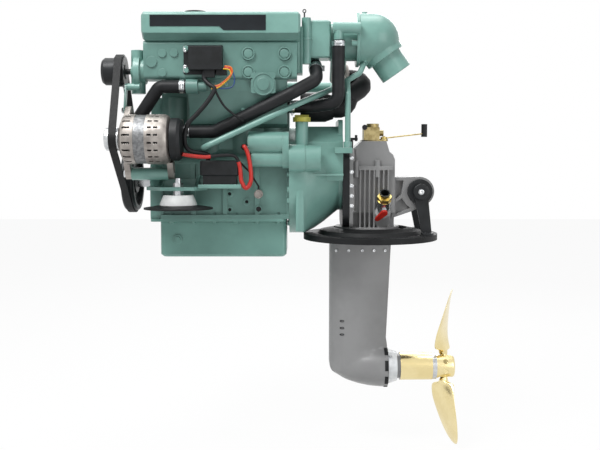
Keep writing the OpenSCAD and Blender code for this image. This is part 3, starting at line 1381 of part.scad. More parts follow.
module gear_housing() {
	half = gearcase_w/2;
	low = crank_z-95;
	foot = base_z-base_t;
	arm_y = hub_w;
	color(grey) difference() {
		union() {
			along_y(-core_w, core_w) polygon(concat([for (s = case_shares) [gearcase_x+s[0]*gearcase_l,
				crank_z+s[1]*gearcase_up]],
				[[gearcase_end, low], [gearcase_x, low]]));
			block([gearcase_x, -0.75*core_w, foot+cut], [gearcase_end, 0.75*core_w, low+cut]);
			along_x(gearcase_x, gearcase_x+1.3*wall) polygon(round_rect(-0.62*bell_r, base_z,
				0.62*bell_r, crank_z+0.58*bell_r, 2*wall));
			for (i = [0:fin_count]) block([fin_x+fin_pitch*i-fin_t/2, -half, base_z-cut],
				[fin_x+fin_pitch*i+fin_t/2, half, fin_top]);
			block([gearcase_x+0.2*gearcase_l, -half, fin_top], [gearcase_x+0.94*gearcase_l, half,
				fin_top+1.4*wall]);
			for (x = [0.155, 0.62]) for (s = [-1, 1])
				rod_z(gearcase_x+x*gearcase_l, s*(half-wall), fin_top-2.6*wall,
					fin_top+3.5*wall, 1.1*wall);
			rod_z(base_x, 0, foot, base_z, base_r);
			along_y(-arm_y, arm_y) {
				translate([hub_x, hub_z]) circle(hub_r, $fn=fine);
				polygon([[gearcase_end-wall, hub_z+0.965*hub_r], [hub_x, hub_z+hub_r],
					[hub_x+0.3*hub_r, hub_z-0.94*hub_r],
					[hub_x-0.45*hub_r, hub_z-1.32*hub_r], [gearcase_end-wall, hub_z-1.82*hub_r]]);
			}
			translate(cock_at) rotate([45, 0, 0]) translate([0, 0, -2.4*cock_r]) cylinder(h = 2.4*cock_r,
				r = 1.15*cock_r, $fn=fine);
		}
		rod_z(post_x, 0, foot-cut, crank_z, post_r+run_fit);
		rod_y(hub_x, -hub_w-cut, hub_w+cut, hub_z, bush_r+run_fit);
		for (z = [[crank_z+56, crank_z+90], [crank_z-92, crank_z-16]])
			block([gearcase_x+1.5*wall, -half-cut, z[0]], [gearcase_x+2.6*wall, half+cut, z[1]]);
		for (s = [-1, 1]) along_y(s > 0 ? 0.7*arm_y : -arm_y-cut, s > 0 ? arm_y+cut : -0.7*arm_y) {
			polygon([[gearcase_end+0.5*wall, hub_z+0.75*hub_r], [hub_x-1.1*hub_r,
				hub_z+0.75*hub_r],
				[hub_x-1.25*hub_r, hub_z-0.2*hub_r], [gearcase_end+0.5*wall, hub_z-0.5*hub_r]]);
			polygon([[gearcase_end+0.5*wall, hub_z-0.75*hub_r], [hub_x-1.2*hub_r,
				hub_z-0.45*hub_r],
				[hub_x-0.9*hub_r, hub_z-0.9*hub_r], [hub_x-0.62*hub_r, hub_z-1.12*hub_r],
				[gearcase_end+0.5*wall, hub_z-1.55*hub_r]]);
		}
	}
}

module rear_mount() {
	y0 = leg_y;
	foot_z = ring_z+ring_t;
	foot_y = 0.5*ring_bolt_r+3*leg_t;
	foot_x = ring_x+0.866*ring_bolt_r;
	color(black) {
		rod_y(hub_x, -y0, y0, hub_z, bush_r);
		for (s = [-1, 1]) difference() {
			union() {
				along_y(s > 0 ? y0 : -y0-leg_t, s > 0 ? y0+leg_t : -y0) {
					translate([hub_x, hub_z]) circle(0.48*hub_r, $fn=coarse);
					polygon([[hub_x-0.48*hub_r, hub_z], [hub_x+0.48*hub_r, hub_z], [foot_x+2.5*leg_t,
						foot_z], [foot_x-leg_t, foot_z]]);
				}
				along_z(foot_z, foot_z+leg_t) polygon([[foot_x-1.4*leg_t, s*leg_y],
					[foot_x+2.6*leg_t, s*leg_y],
					[foot_x+2.6*leg_t, s*(foot_y-leg_t)], [foot_x+1.8*leg_t, s*foot_y],
						[foot_x-1.4*leg_t, s*foot_y]]);
			}
			rod_z(foot_x, s*ring_bolt_r/2, foot_z-cut, foot_z+2*leg_t, mount_hole_r);
			rod_y(hub_x, s > 0 ? y0 : -y0-leg_t-cut, s > 0 ? y0+leg_t+cut : -y0, hub_z, rear_bolt_r+run_fit);
		}
	}
}

// Shift mechanism on top of the gear housing
shift_x = gearcase_x+43;
swing_x = gearcase_x+102;
swing_y = -52;
shift_h = 40;

module shift_gear() {
	z = gearcase_top;
	h = shift_h;
	color(brass) {
		block([shift_x, swing_y-0.25*h, z], [shift_x+1.15*h, 0, z+h]);
		rod_z(shift_x+0.7*h, swing_y+0.45*h, z+h, z+1.28*h, 0.45*h);
		block([shift_x-0.15*h, swing_y-0.32*h, z], [shift_x+1.3*h, 0.15*h, z+0.08*h]);
		rod_x(shift_x+1.15*h, shift_x+1.5*h, swing_y+0.62*h, z+0.6*h, 0.22*h);
		rod_z(swing_x, swing_y, z, z+0.16*h, 0.3*h);
		rod_z(swing_x, swing_y, z, z+0.38*h, bolt_r);
	}
	color(black) {
		rod_y(shift_x+0.05*h, swing_y-0.45*h, swing_y-0.25*h, z+h, head_r);
		rod_z(gearcase_x+wall, swing_y-wall/2, crank_z+0.82*gearcase_up, z+0.2*h, 0.6*head_r);
		rod_x(gearcase_x+0.6*wall, gearcase_x+3.2*wall, swing_y-wall/2, z+0.16*h, 0.5*head_r);
		rod_z(gearcase_x+2.6*wall, swing_y-wall/2, z, z+0.45*h, 0.5*head_r);
	}
}

module shift_lever() {
	z0 = gearcase_top+0.16*shift_h+seat;
	knob = [swing_x+3.2*shift_h, swing_y+1.7*shift_h, gearcase_top+0.6*shift_h];
	color(brass) difference() {
		union() {
			rod_z(swing_x, swing_y, z0, z0+head_t, 2.4*bolt_r);
			bar([swing_x+1.6*bolt_r, swing_y, z0+head_t/2], knob, 0.5*bolt_r);
		}
		rod_z(swing_x, swing_y, z0-cut, z0+2*shift_h, bolt_r+run_fit);
	}
	color(black) rod_z(knob[0], knob[1], knob[2]-0.25*shift_h, knob[2]+0.7*shift_h, 0.22*shift_h);
}

// Seawater valve, drawn along its own axis
cock_at = [gearcase_x+97, -92, crank_z-91];
cock_l = 83;
cock_r = 20;
stem_r = 5;
stem_share = 0.35;

module seacock() {
	z = stem_share*cock_l;
	translate(cock_at) rotate([45, 0, 0]) difference() {
		union() {
			color(steel) cylinder(h = 0.3*cock_l, r = 0.8*cock_r, $fn=fine);
			color(steel) translate([0, 0, 0.28*cock_l]) cylinder(h = 0.38*cock_l, r = cock_r, $fn=fine);
			color(brass) translate([0, 0, 0.66*cock_l]) cylinder(h = 0.16*cock_l, r = 1.05*cock_r,
				$fn = 6);
			color(brass) cylinder(h = cock_l, r = 0.75*cock_r, $fn=fine);
			translate([0, 0, z]) rotate([90, 0, 0]) cylinder(h = 1.25*cock_r, r = 1.8*stem_r, $fn=fine);
		}
		translate([0, 0, 0.72*cock_l]) cylinder(h = cock_l, r = 0.6*cock_r, $fn=fine);
		translate([0, -0.5*cock_r, z]) rotate([90, 0, 0]) cylinder(h = 2*cock_r, r = stem_r+run_fit,
			$fn=fine);
	}
}

module seacock_handle() {
	z = stem_share*cock_l;
	y = 1.25*cock_r+seat;
	color(red) translate(cock_at) rotate([45, 0, 0]) {
		translate([0, -0.55*cock_r, z]) rotate([90, 0, 0]) cylinder(h = y+stem_r-0.55*cock_r,
			r = stem_r, $fn=fine);
		translate([0, -y, z]) rotate([90, 0, 0]) linear_extrude(1.3*stem_r) rotate([0, 0,
			-125]) polygon(concat(
			arc_points(0, 0, 2*stem_r, 90, 270), arc_points(1.6*cock_r, 0, 1.3*stem_r, -90, 90)));
	}
}

module hull_ring() {
	r = ring_in_r+seat;
	z = ring_z;
	seat_z = base_z-base_t+seat;
	color(black) difference() {
		translate([ring_x, 0, 0]) rotate_extrude($fn = 2*fine) polygon([[r, z], [ring_r, z], [ring_r,
			z+ring_t],
			[0.79*ring_r, z+ring_t], [0.75*ring_r, z+1.6*ring_t], [ring_in_r-2*wall,
				base_z-wall/2],
			[ring_in_r-2*wall, seat_z], [r, seat_z]]);
		for (i = [0:ring_bolt_count-1]) rod_z(ring_x+ring_bolt_r*cos(i*360/ring_bolt_count),
			ring_bolt_r*sin(i*360/ring_bolt_count), z-cut, z+2*ring_t, mount_hole_r);
	}
}

// Half width of the leg's foil and of the torpedo, with the torpedo's radius against its length
foil_points = 26;
nose_share = 0.35;
tail_share = 0.22;
function foil_half(u) = u < nose_share ? sqrt(1-pow(1-u/nose_share, 2))
	: 1-(1-tail_share)*pow((u-nose_share)/(1-nose_share), 1.8);
function torpedo_half(x, z) = let (u = (torpedo_end-x)/torpedo_l,
	r = u < 1 ? torpedo_r*pow(1-u*u, 0.667) : 0,
	d = z-prop_z) r > abs(d) ? sqrt(r*r-d*d) : 0;
function leg_ring(z, x0, x1,
	w) = let (half = [for (i = [0:foil_points]) let (u = (1-cos(180*i/foil_points))/2,
		x = x0+u*(x1-x0), c = (x-leg_x)/leg_chord)
		[x, max(w*foil_half(min(1, max(0, c))), torpedo_half(min(x, torpedo_end-seat), z))]])
	concat([for (p = half) [p[0], -p[1], z]], [for (i = [foil_points:-1:1]) [half[i][0], half[i][1], z]]);
// Height of each ring from the shaft axis to the hull, with its tail and width, as shares
leg_rows = [[0.14, 0.94, 0.9], [0.2, 0.92, 0.92], [0.4, 0.94, 0.95], [0.7, 0.97, 0.97], [1, 1, 1]];
low_shares = [-0.97, -0.9, -0.8, -0.65, -0.5, -0.34];
mid_shares = [-0.15, 0.1, 0.35, 0.55, 0.75, 0.9, 0.99];

module drive_leg() {
	h = leg_top-prop_z;
	cone = gear_r*1.06;
	lows = [for (s = low_shares) let (t = pow(1-pow(-s, 1.5), 0.5))
		leg_ring(prop_z+s*torpedo_r, torpedo_end-torpedo_l*t, torpedo_end, 0)];
	mids = [for (s = mid_shares) leg_ring(prop_z+s*torpedo_r, leg_x, torpedo_end, leg_w*0.45)];
	highs = [for (s = leg_rows) leg_ring(prop_z+s[0]*h+torpedo_r*0.2, leg_x,
		leg_x+s[1]*leg_chord, s[2]*leg_w/2)];
	color(grey) difference() {
		union() {
			loft(concat(lows, mids, highs));
			rod_z(ring_x, 0, leg_top-wall/2, base_z-base_t, ring_in_r);
		}
		rod_x(post_x+0.3*gear_r, torpedo_end+cut, 0, prop_z, shaft_r+run_fit);
		rod_x(post_x+0.3*gear_r, post_x+gear_r, 0, prop_z, cone);
		rod_z(post_x, 0, prop_z+0.5*gear_r, prop_z+gear_r+1.3*cone_t, pinion_r+wall/4);
		rod_z(post_x, 0, prop_z+gear_r, base_z, post_r+run_fit);
	}
}

module shaft_anode() {
	color(white) difference() {
		rod_x(anode_x, anode_x+anode_l, 0, prop_z, anode_r, 0.82*anode_r);
		rod_x(anode_x-cut, anode_x+anode_l+cut, 0, prop_z, shaft_r+seat);
	}
}

module vertical_shaft() {
	z = prop_z+gear_r+seat;
	k = cone_t/norm([gear_r, pinion_r]);
	color(steel) {
		rod_z(post_x, 0, z-k*gear_r, z, (1-k)*pinion_r, pinion_r);
		rod_z(post_x, 0, z, z+0.4*cone_t, pinion_r);
		rod_z(post_x, 0, z-0.5*k*gear_r, crank_z-wall, post_r);
	}
}

// Turns its children as the propeller stands
module in_propeller() {
	translate([0, 0, prop_z]) rotate([-prop_turn_deg, 0, 0]) children();
}

module propeller_shaft() {
	x = post_x+pinion_r+seat;
	k = cone_t/norm([gear_r, pinion_r]);
	color(steel) {
		rod_x(x-k*pinion_r, x, 0, prop_z, (1-k)*gear_r, gear_r);
		rod_x(x, x+0.4*cone_t, 0, prop_z, gear_r);
		rod_x(x, hub_pin_x-2*tooth_tip_r, 0, prop_z, shaft_r);
	}
}

module propeller_hub() {
	slot_x = hub_pin_x-tooth_tip_r-wall/4;
	color(bronze) in_propeller() difference() {
		union() {
			rod_x(sleeve_x, sleeve_x+neck_l, 0, 0, 0.88*sleeve_r);
			rod_x(sleeve_x+neck_l, sleeve_x+sleeve_l, 0, 0, sleeve_r, 0.98*sleeve_r);
			rod_x(sleeve_x+sleeve_l, sleeve_x+sleeve_l+lip_l, 0, 0, 0.94*sleeve_r);
			rotate([0, 90, 0]) rotate_extrude($fn=fine) polygon(concat([[0, sleeve_x+sleeve_l], [cheek_r,
				sleeve_x+sleeve_l]],
				arc_points(cheek_r-wall, cheek_end-wall, wall, 0, 90), [[0, cheek_end]]));
		}
		rod_x(sleeve_x-cut, hub_pin_x-2*tooth_tip_r+seat, 0, 0, shaft_r+run_fit);
		block([slot_x, -fork_w/2, -sleeve_r], [cheek_end+cut, fork_w/2, sleeve_r]);
		for (s = [-1, 1]) rod_y(hub_pin_x, -sleeve_r, sleeve_r, s*pin_off, blade_pin_r+run_fit);
	}
}

module blade_pins() {
	half = 0.88*cheek_r;
	color(steel) in_propeller() for (s = [-1, 1]) rod_y(hub_pin_x, -half, half, s*pin_off, blade_pin_r);
}

// Tooth flank of the geared root: half the angle of a tooth at radius r
base_circle = pin_off*cos(pressure_deg);
function involute(a) = tan(a)*180/PI-a;
function tooth_half(r) = 90/gear_teeth-backlash_deg/4+involute(pressure_deg) -
	involute(acos(min(1, base_circle/r)));
tooth_rs = [for (k = [0:4]) base_circle+(tooth_tip_r-base_circle)*k/4];
function gear_points(phase) = [for (i = [0:gear_teeth-1]) let (a = phase+360*i/gear_teeth)
	each concat([root_r*[cos(a-tooth_half(base_circle)), sin(a-tooth_half(base_circle))]],
		[for (r = tooth_rs) r*[cos(a-tooth_half(r)), sin(a-tooth_half(r))]],
		[for (k = [4:-1:0]) let (r = tooth_rs[k]) r*[cos(a+tooth_half(r)), sin(a+tooth_half(r))]],
		[root_r*[cos(a+tooth_half(base_circle)), sin(a+tooth_half(base_circle))]])];

// Blade sections: shares of the propeller's radius, chord and thickness, then rake as a share of the radius
blade_shares = [[0.03, 0.28, 1.2, 0], [0.09, 0.28, 1.15, 0], [0.14, 0.3, 1.05, -0.03], [0.21, 0.42,
	0.95, -0.075],
	[0.28, 0.6, 0.85, -0.075], [0.36, 0.8, 0.75, -0.06], [0.46, 0.95, 0.65, -0.035], [0.56, 1, 0.56, -0.01],
	[0.66, 0.96, 0.48, 0.01], [0.76, 0.84, 0.4, 0.03], [0.85, 0.66, 0.33, 0.055], [0.92, 0.42, 0.26,
		0.08], [0.96, 0.2, 0.2, 0.095]];
function twist_deg(r) = atan(blade_pitch/(2*PI*(r+pin_off)));
function blade_ring(s) = let (r = s[0]*prop_r, a = s[0] < 0.14 ? 0 : twist_deg(r)*min(1,
	(s[0]-0.1)/0.15),
	c = s[1]*blade_chord/2, t = s[2]*blade_t/2)
	[for (i = [0:blade_points-1]) let (u = c*cos(360*i/blade_points),
		v = t*sin(360*i/blade_points))
		[s[3]*prop_r+u*sin(a)-v*cos(a), u*cos(a)+v*sin(a), r]];

module blade(phase) {
	half = fork_w/2-seat;
	translate([hub_pin_x, 0, pin_off]) difference() {
		union() {
			along_y(-half, half) polygon(gear_points(phase));
			loft([for (s = blade_shares) blade_ring(s)]);
		}
		rod_y(0, -fork_w, fork_w, 0, blade_pin_r+run_fit);
	}
}

module blade_upper() {
	color(bronze) in_propeller() blade(-90);
}

module blade_lower() {
	color(bronze) in_propeller() rotate([180, 0, 0]) blade(-90+180/gear_teeth);
}

cylinder_block();
cylinder_head();
rocker_cover();
oil_cap();
timing_case();
oil_sump();
crankshaft();
flywheel();
crank_pulley();
drive_belt();
coolant_pump();
pump_pulley();
heat_exchanger();
expansion_tank();
tank_cap();
relay_box();
fuse_box();
alternator_housings();
alternator_stator();
alternator_cover();
alternator_rotor();
alternator_pulley();
alternator_bracket();
starter_motor();
bell_housing();
adapter_plate();
exhaust_manifold();
turbocharger();
exhaust_elbow();
air_intake();
intake_manifold();
injection_pump();
throttle_lever();
fuel_filter();
oil_filter();
seawater_pump();
front_hose();
long_hose();
aft_hose();
steel_pipes();
hose_clamps();
wiring();
mount_brackets();
front_mounts();
fasteners();
gear_housing();
rear_mount();
shift_gear();
shift_lever();
seacock();
seacock_handle();
hull_ring();
drive_leg();
shaft_anode();
vertical_shaft();
propeller_shaft();
propeller_hub();
blade_pins();
blade_upper();
blade_lower();
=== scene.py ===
import json
import math
import bpy
from mathutils import Matrix, Vector


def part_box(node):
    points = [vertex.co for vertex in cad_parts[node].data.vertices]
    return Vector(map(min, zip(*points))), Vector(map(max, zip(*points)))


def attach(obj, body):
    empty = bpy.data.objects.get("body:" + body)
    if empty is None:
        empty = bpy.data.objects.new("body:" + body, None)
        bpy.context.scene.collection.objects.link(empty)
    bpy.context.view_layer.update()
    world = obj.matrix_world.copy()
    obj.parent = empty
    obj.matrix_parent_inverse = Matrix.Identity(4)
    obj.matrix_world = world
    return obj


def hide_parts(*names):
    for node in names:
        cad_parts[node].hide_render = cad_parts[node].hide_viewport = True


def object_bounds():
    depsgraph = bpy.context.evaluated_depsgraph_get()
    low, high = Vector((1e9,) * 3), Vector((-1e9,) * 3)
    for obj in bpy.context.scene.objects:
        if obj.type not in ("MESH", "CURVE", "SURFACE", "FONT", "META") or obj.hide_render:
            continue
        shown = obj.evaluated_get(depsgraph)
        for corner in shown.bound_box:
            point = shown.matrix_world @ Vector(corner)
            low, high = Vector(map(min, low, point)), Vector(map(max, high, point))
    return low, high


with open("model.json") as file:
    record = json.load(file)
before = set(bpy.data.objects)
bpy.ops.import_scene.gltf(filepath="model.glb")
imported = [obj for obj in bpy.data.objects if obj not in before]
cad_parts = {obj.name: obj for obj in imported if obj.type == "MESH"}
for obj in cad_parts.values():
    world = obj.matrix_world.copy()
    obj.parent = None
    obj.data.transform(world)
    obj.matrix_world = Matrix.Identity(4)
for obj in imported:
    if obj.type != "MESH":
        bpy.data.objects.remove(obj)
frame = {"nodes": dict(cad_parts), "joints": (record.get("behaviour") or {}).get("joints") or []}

cad_low, cad_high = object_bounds()
nodes = frame["nodes"]

# Camera: the photograph was taken from port, level with the rocker cover and a little above the engine's middle.
camera_place = Vector((0.3361, -2.5, 0.1487))
camera_pitch = math.radians(4.8)
film_width = 36          # millimetres
photo_width, photo_height = 600, 450
focal_pixels = 833.0

bpy.ops.object.camera_add(location=camera_place, rotation=(math.pi / 2 - camera_pitch, 0, 0))
camera = bpy.context.object
camera.name = "studio_camera"
camera.data.sensor_width = film_width
camera.data.lens = focal_pixels * film_width / photo_width
camera.data.clip_end = 50
bpy.context.scene.camera = camera


def sight_line(u, v):
    """Direction from the camera through a place of the photograph."""
    across, up = u - photo_width / 2, photo_height / 2 - v
    return Vector((across, focal_pixels * math.cos(camera_pitch) + up * math.sin(camera_pitch),
                   -focal_pixels * math.sin(camera_pitch) + up * math.cos(camera_pitch))).normalized()


def seen_at(u, v, y):
    """The point at depth y that shows at a place of the photograph."""
    ray = sight_line(u, v)
    return camera_place + ray * ((y - camera_place.y) / ray.y)


def touch(u, v, name):
    """Where the sight line through a place of the photograph meets a piece, and the surface's direction there."""
    hit, place, normal, _ = bpy.data.objects[name].ray_cast(camera_place, sight_line(u, v))
    assert hit, f"{name} isn't met at {u}, {v}"
    return place, (normal if normal.y < 0 else -normal)


# Materials
def linear(hex_colour):
    """An sRGB hex colour as linear red, green, blue and alpha."""
    parts = [int(hex_colour[i:i + 2], 16) / 255 for i in (1, 3, 5)]
    return [c / 12.92 if c <= 0.04045 else ((c + 0.055) / 1.055) ** 2.4 for c in parts] + [1]


def add(material, kind, settings=None, values=None, links=None):
    """Adds a shading node to a material or the world, with its settings, its values and what feeds it."""
    made = material.node_tree.nodes.new(kind)
    for key, value in (settings or {}).items():
        setattr(made, key, value)
    for key, value in (values or {}).items():
        made.inputs[key].default_value = value
    for key, socket in (links or {}).items():
        material.node_tree.links.new(socket, made.inputs[key])
    return made


def surface(name, colour, shade, metallic, roughness, spread, grain_mm, grain_depth, mottle_mm=60,
            coat=0.0, edge_mm=0.0, fine_mm=0.0, stretch=(1, 1, 1), edge_highlight_colour=None, specular=0.5):
    """A finish whose colour drifts between two tones, with a grain of a real size and soft edges, and a painted
    highlight along its edges where an edge colour is given.
    """
    material = bpy.data.materials.new(name)
    material.use_nodes = True
    material.node_tree.nodes.clear()
    place = add(material, "ShaderNodeTexCoord").outputs["Object"]
    turned = add(material, "ShaderNodeMapping", values={"Scale": stretch}, links={"Vector": place}).outputs[0]
    drift = add(material, "ShaderNodeTexNoise", values={"Scale": 1000 / mottle_mm, "Detail": 4, "Roughness": 0.55},
                links={"Vector": place}).outputs["Fac"]
    grain = add(material, "ShaderNodeTexNoise", values={"Scale": 1000 / grain_mm, "Detail": 3, "Roughness": 0.6},
                links={"Vector": turned}).outputs["Fac"]
    tones = add(material, "ShaderNodeValToRGB", links={"Fac": drift})
    tones.color_ramp.elements[0].position, tones.color_ramp.elements[0].color = 0.36, linear(shade)
    tones.color_ramp.elements[1].position, tones.color_ramp.elements[1].color = 0.62, linear(colour)
    colour_out = tones.outputs["Color"]
    gloss = add(material, "ShaderNodeMapRange", values={"From Min": 0.3, "From Max": 0.7, "To Min": roughness - spread,
                                                       "To Max": roughness + spread}, links={"Value": grain})
    shader = add(material, "ShaderNodeBsdfPrincipled", values={"Metallic": metallic, "Coat Weight": coat,
                                                              "Coat Roughness": 0.2, "Specular IOR Level": specular},
                 links={"Roughness": gloss.outputs[0]})
    normal = None
    if edge_mm:
        normal = add(material, "ShaderNodeBevel", {"samples": 6}, {"Radius": edge_mm / 1000}).outputs[0]
        # A lighter colour where the rounded normal turns away from the flat one: a painted highlight along the edges.
        if edge_highlight_colour:
            flat = add(material, "ShaderNodeNewGeometry").outputs["Normal"]
            turn = add(material, "ShaderNodeVectorMath", {"operation": "DOT_PRODUCT"}, links={0: normal, 1: flat})
            edge_highlight = add(material, "ShaderNodeMapRange", values={"From Min": 0.98, "From Max": 0.8, "To Max": 0.55},
                       links={"Value": turn.outputs["Value"]})
            mixed = add(material, "ShaderNodeMix", {"data_type": "RGBA"}, {7: linear(edge_highlight_colour)},
                        {0: edge_highlight.outputs[0], 6: colour_out})
            colour_out = mixed.outputs[2]
    bump = add(material, "ShaderNodeBump", values={"Strength": 0.6, "Distance": grain_depth / 1000},
               links={"Height": grain})
    if normal:
        material.node_tree.links.new(normal, bump.inputs["Normal"])
    out_normal = bump.outputs[0]
    if fine_mm:
        fine = add(material, "ShaderNodeTexNoise", values={"Scale": 1000 / fine_mm, "Detail": 2},
                   links={"Vector": turned})
        out_normal = add(material, "ShaderNodeBump", values={"Strength": 0.35, "Distance": grain_depth / 2500},
                         links={"Height": fine.outputs["Fac"], "Normal": out_normal}).outputs[0]
    material.node_tree.links.new(colour_out, shader.inputs["Base Color"])
    material.node_tree.links.new(out_normal, shader.inputs["Normal"])
    add(material, "ShaderNodeOutputMaterial", links={"Surface": shader.outputs[0]})
    return material


# The lighter edge colours below are painted highlights along the edges.
# Marine enamel sprayed on cast iron: a satin green whose skin follows the sand of the mould.
engine_enamel = surface("green_enamel_on_cast_iron", "#7AA69C", "#6D988E", 0.0, 0.36, 0.06, 5.0, 0.35, mottle_mm=90,
                        coat=0.25, edge_mm=1.6, fine_mm=1.6, edge_highlight_colour="#A5C6BC")
# The same enamel made darker and duller for the parts that stand back: painted shade, a shaded copy of the enamel.
painted_shade_enamel = surface("green_enamel_with_painted_shade", "#688F86", "#5D827A", 0.0, 0.42, 0.06, 5.0, 0.35, mottle_mm=90,
                      coat=0.1, edge_mm=1.6, fine_mm=1.6, edge_highlight_colour="#93B7AE")
# The same enamel on pressed sheet steel, which has no sand marks and a darker, duller coat low on the engine.
sump_enamel = surface("green_enamel_on_pressed_steel", "#6E9B91", "#618D83", 0.0, 0.4, 0.05, 9.0, 0.12, mottle_mm=120,
                      coat=0.2, edge_mm=1.6, fine_mm=1.4, edge_highlight_colour="#86AB9F")
# Grey epoxy primer and enamel on cast aluminium: smooth, with a soft broad highlight.
leg_enamel = surface("grey_enamel_on_cast_aluminium", "#8F8F8F", "#838383", 0.0, 0.38, 0.05, 6.0, 0.16, mottle_mm=140,
                     coat=0.2, edge_mm=1.4, fine_mm=1.5, edge_highlight_colour="#B4B4B4")
# Bare die-cast aluminium: bright but matt, with a fine tumbled skin.
cast_aluminium = surface("die_cast_aluminium", "#ABA59F", "#8D8782", 0.8, 0.42, 0.08, 2.0, 0.14, mottle_mm=25,
                         edge_mm=0.8, edge_highlight_colour="#E2DFDB")
# Stacked steel sheets of the stator, seen on edge.
stator_steel = surface("laminated_stator_steel", "#8A8B8C", "#66686A", 0.8, 0.45, 0.08, 1.2, 0.2, mottle_mm=8,
                       stretch=(1, 0.05, 0.05))
# Zinc-plated steel: cool and fairly shiny.
zinc_steel = surface("zinc_plated_steel", "#D3D5D6", "#B4B7BA", 1.0, 0.28, 0.07, 3.0, 0.05, mottle_mm=14, edge_mm=0.4)
# Ground and oiled shaft steel.
shaft_steel = surface("ground_shaft_steel", "#B9BBBD", "#9FA2A5", 1.0, 0.24, 0.06, 1.5, 0.03, mottle_mm=30,
                      stretch=(4, 1, 1))
# Polished nickel-aluminium bronze, machined smooth, with faint strokes of the polishing wheel.
prop_bronze = surface("polished_propeller_bronze", "#F0E0AE", "#E7D59F", 1.0, 0.22, 0.05, 7.0, 0.05, mottle_mm=60,
                      fine_mm=1.2, stretch=(1, 1, 5), edge_mm=0.6)
# Turned brass fittings.
fitting_brass = surface("turned_brass", "#D6C384", "#AE995C", 1.0, 0.3, 0.08, 2.0, 0.05, mottle_mm=18, edge_mm=0.5)
# The same alloy cast and left in the engine room: browner and duller.
dull_brass = surface("dull_cast_brass", "#B5A577", "#8C7C52", 0.9, 0.4, 0.08, 2.5, 0.1, mottle_mm=14, edge_mm=0.7)
# Cast zinc anode: pale, chalky and slightly pitted.
anode_zinc = surface("cast_zinc_anode", "#E4E6E8", "#CFD2D4", 0.25, 0.45, 0.1, 3.0, 0.15, mottle_mm=20, edge_mm=0.8)
# Extruded synthetic rubber of the coolant hoses, with the faint cloth marks of its wrapping.
hose_rubber = surface("wrapped_hose_rubber", "#202123", "#161719", 0.0, 0.48, 0.08, 2.2, 0.12, mottle_mm=40,
                      fine_mm=1.0, specular=0.25)
# Moulded rubber of the belt, the mounts and the hull ring, duller and a little greyer.
moulded_rubber = surface("moulded_rubber", "#1E1F20", "#141516", 0.0, 0.55, 0.08, 3.0, 0.1, mottle_mm=60, edge_mm=1.0,
                         edge_highlight_colour="#3C3E40", specular=0.22)
# Black glass-filled nylon boxes with a spark-eroded mould texture.
box_nylon = surface("black_filled_nylon", "#1C1E20", "#131516", 0.0, 0.45, 0.07, 1.3, 0.1, mottle_mm=30, edge_mm=0.9,
                    edge_highlight_colour="#44474A", specular=0.28)
# Black powder coat on pressed or cast steel, with its orange-peel skin.
black_coat = surface("black_powder_coat", "#252729", "#1B1D1E", 0.1, 0.4, 0.08, 2.5, 0.12, mottle_mm=50, edge_mm=1.0,
                     edge_highlight_colour="#484B4E", specular=0.28)
# Dark laminate of the bare plate.
plate_laminate = surface("dark_bare_laminate", "#1B2024", "#15191D", 0.0, 0.32, 0.04, 4.0, 0.03, mottle_mm=80,
                         specular=0.25)
# Yellow-green filler cap of moulded polypropylene.
cap_plastic = surface("yellow_polypropylene", "#B7B247", "#A39E38", 0.0, 0.42, 0.05, 1.5, 0.08, mottle_mm=15,
                      edge_mm=0.8)
# White-grey cast dome of the front mounts.
mount_alloy = surface("pale_mount_casting", "#EEF0EE", "#DDE0DE", 0.0, 0.42, 0.06, 3.0, 0.1, mottle_mm=30, edge_mm=1.0)
# Soft vinyl of the cables in their colours.
cable_red = surface("red_cable_vinyl", "#C22A20", "#A91F17", 0.0, 0.38, 0.05, 2.0, 0.05, mottle_mm=20)
cable_black = surface("black_cable_vinyl", "#1D1E20", "#151617", 0.0, 0.42, 0.05, 2.0, 0.05, mottle_mm=20,
                      specular=0.25)
cable_yellow = surface("yellow_cable_vinyl", "#E3B21C", "#CF9F12", 0.0, 0.38, 0.05, 2.0, 0.04, mottle_mm=20)
cable_orange = surface("orange_cable_vinyl", "#D9701C", "#C46014", 0.0, 0.38, 0.05, 2.0, 0.04, mottle_mm=20)
cable_blue = surface("blue_cable_vinyl", "#24497F", "#1D3D6B", 0.0, 0.38, 0.05, 2.0, 0.04, mottle_mm=20)
# Red moulded handle of the seawater valve.
handle_red = surface("red_handle_plastic", "#C62B20", "#B02319", 0.0, 0.36, 0.05, 1.5, 0.06, mottle_mm=15, edge_mm=0.6)


# Finishes of the CAD nodes
weld_distance = 0.00001
crease_angle = math.radians(32)


def finish_node(name, main, *zones):
    """Gives a node its finish, and each zone of it, told by the middles of its faces, a finish of its own."""
    item = nodes[name]
    item.data.materials.clear()
    for material in [main] + [zone[1] for zone in zones]:
        item.data.materials.append(material)
    for face in item.data.polygons:
        face.use_smooth = True
        face.material_index = next((i + 1 for i, zone in enumerate(zones) if zone[0](face.center)), 0)
    weld = item.modifiers.new("weld", "WELD")
    weld.merge_threshold = weld_distance
    split = item.modifiers.new("edges", "EDGE_SPLIT")
    split.split_angle = crease_angle


def round_x(point, y, z):
    """How far a point is from a line that runs fore and aft."""
    return math.hypot(point.y - y, point.z - z)


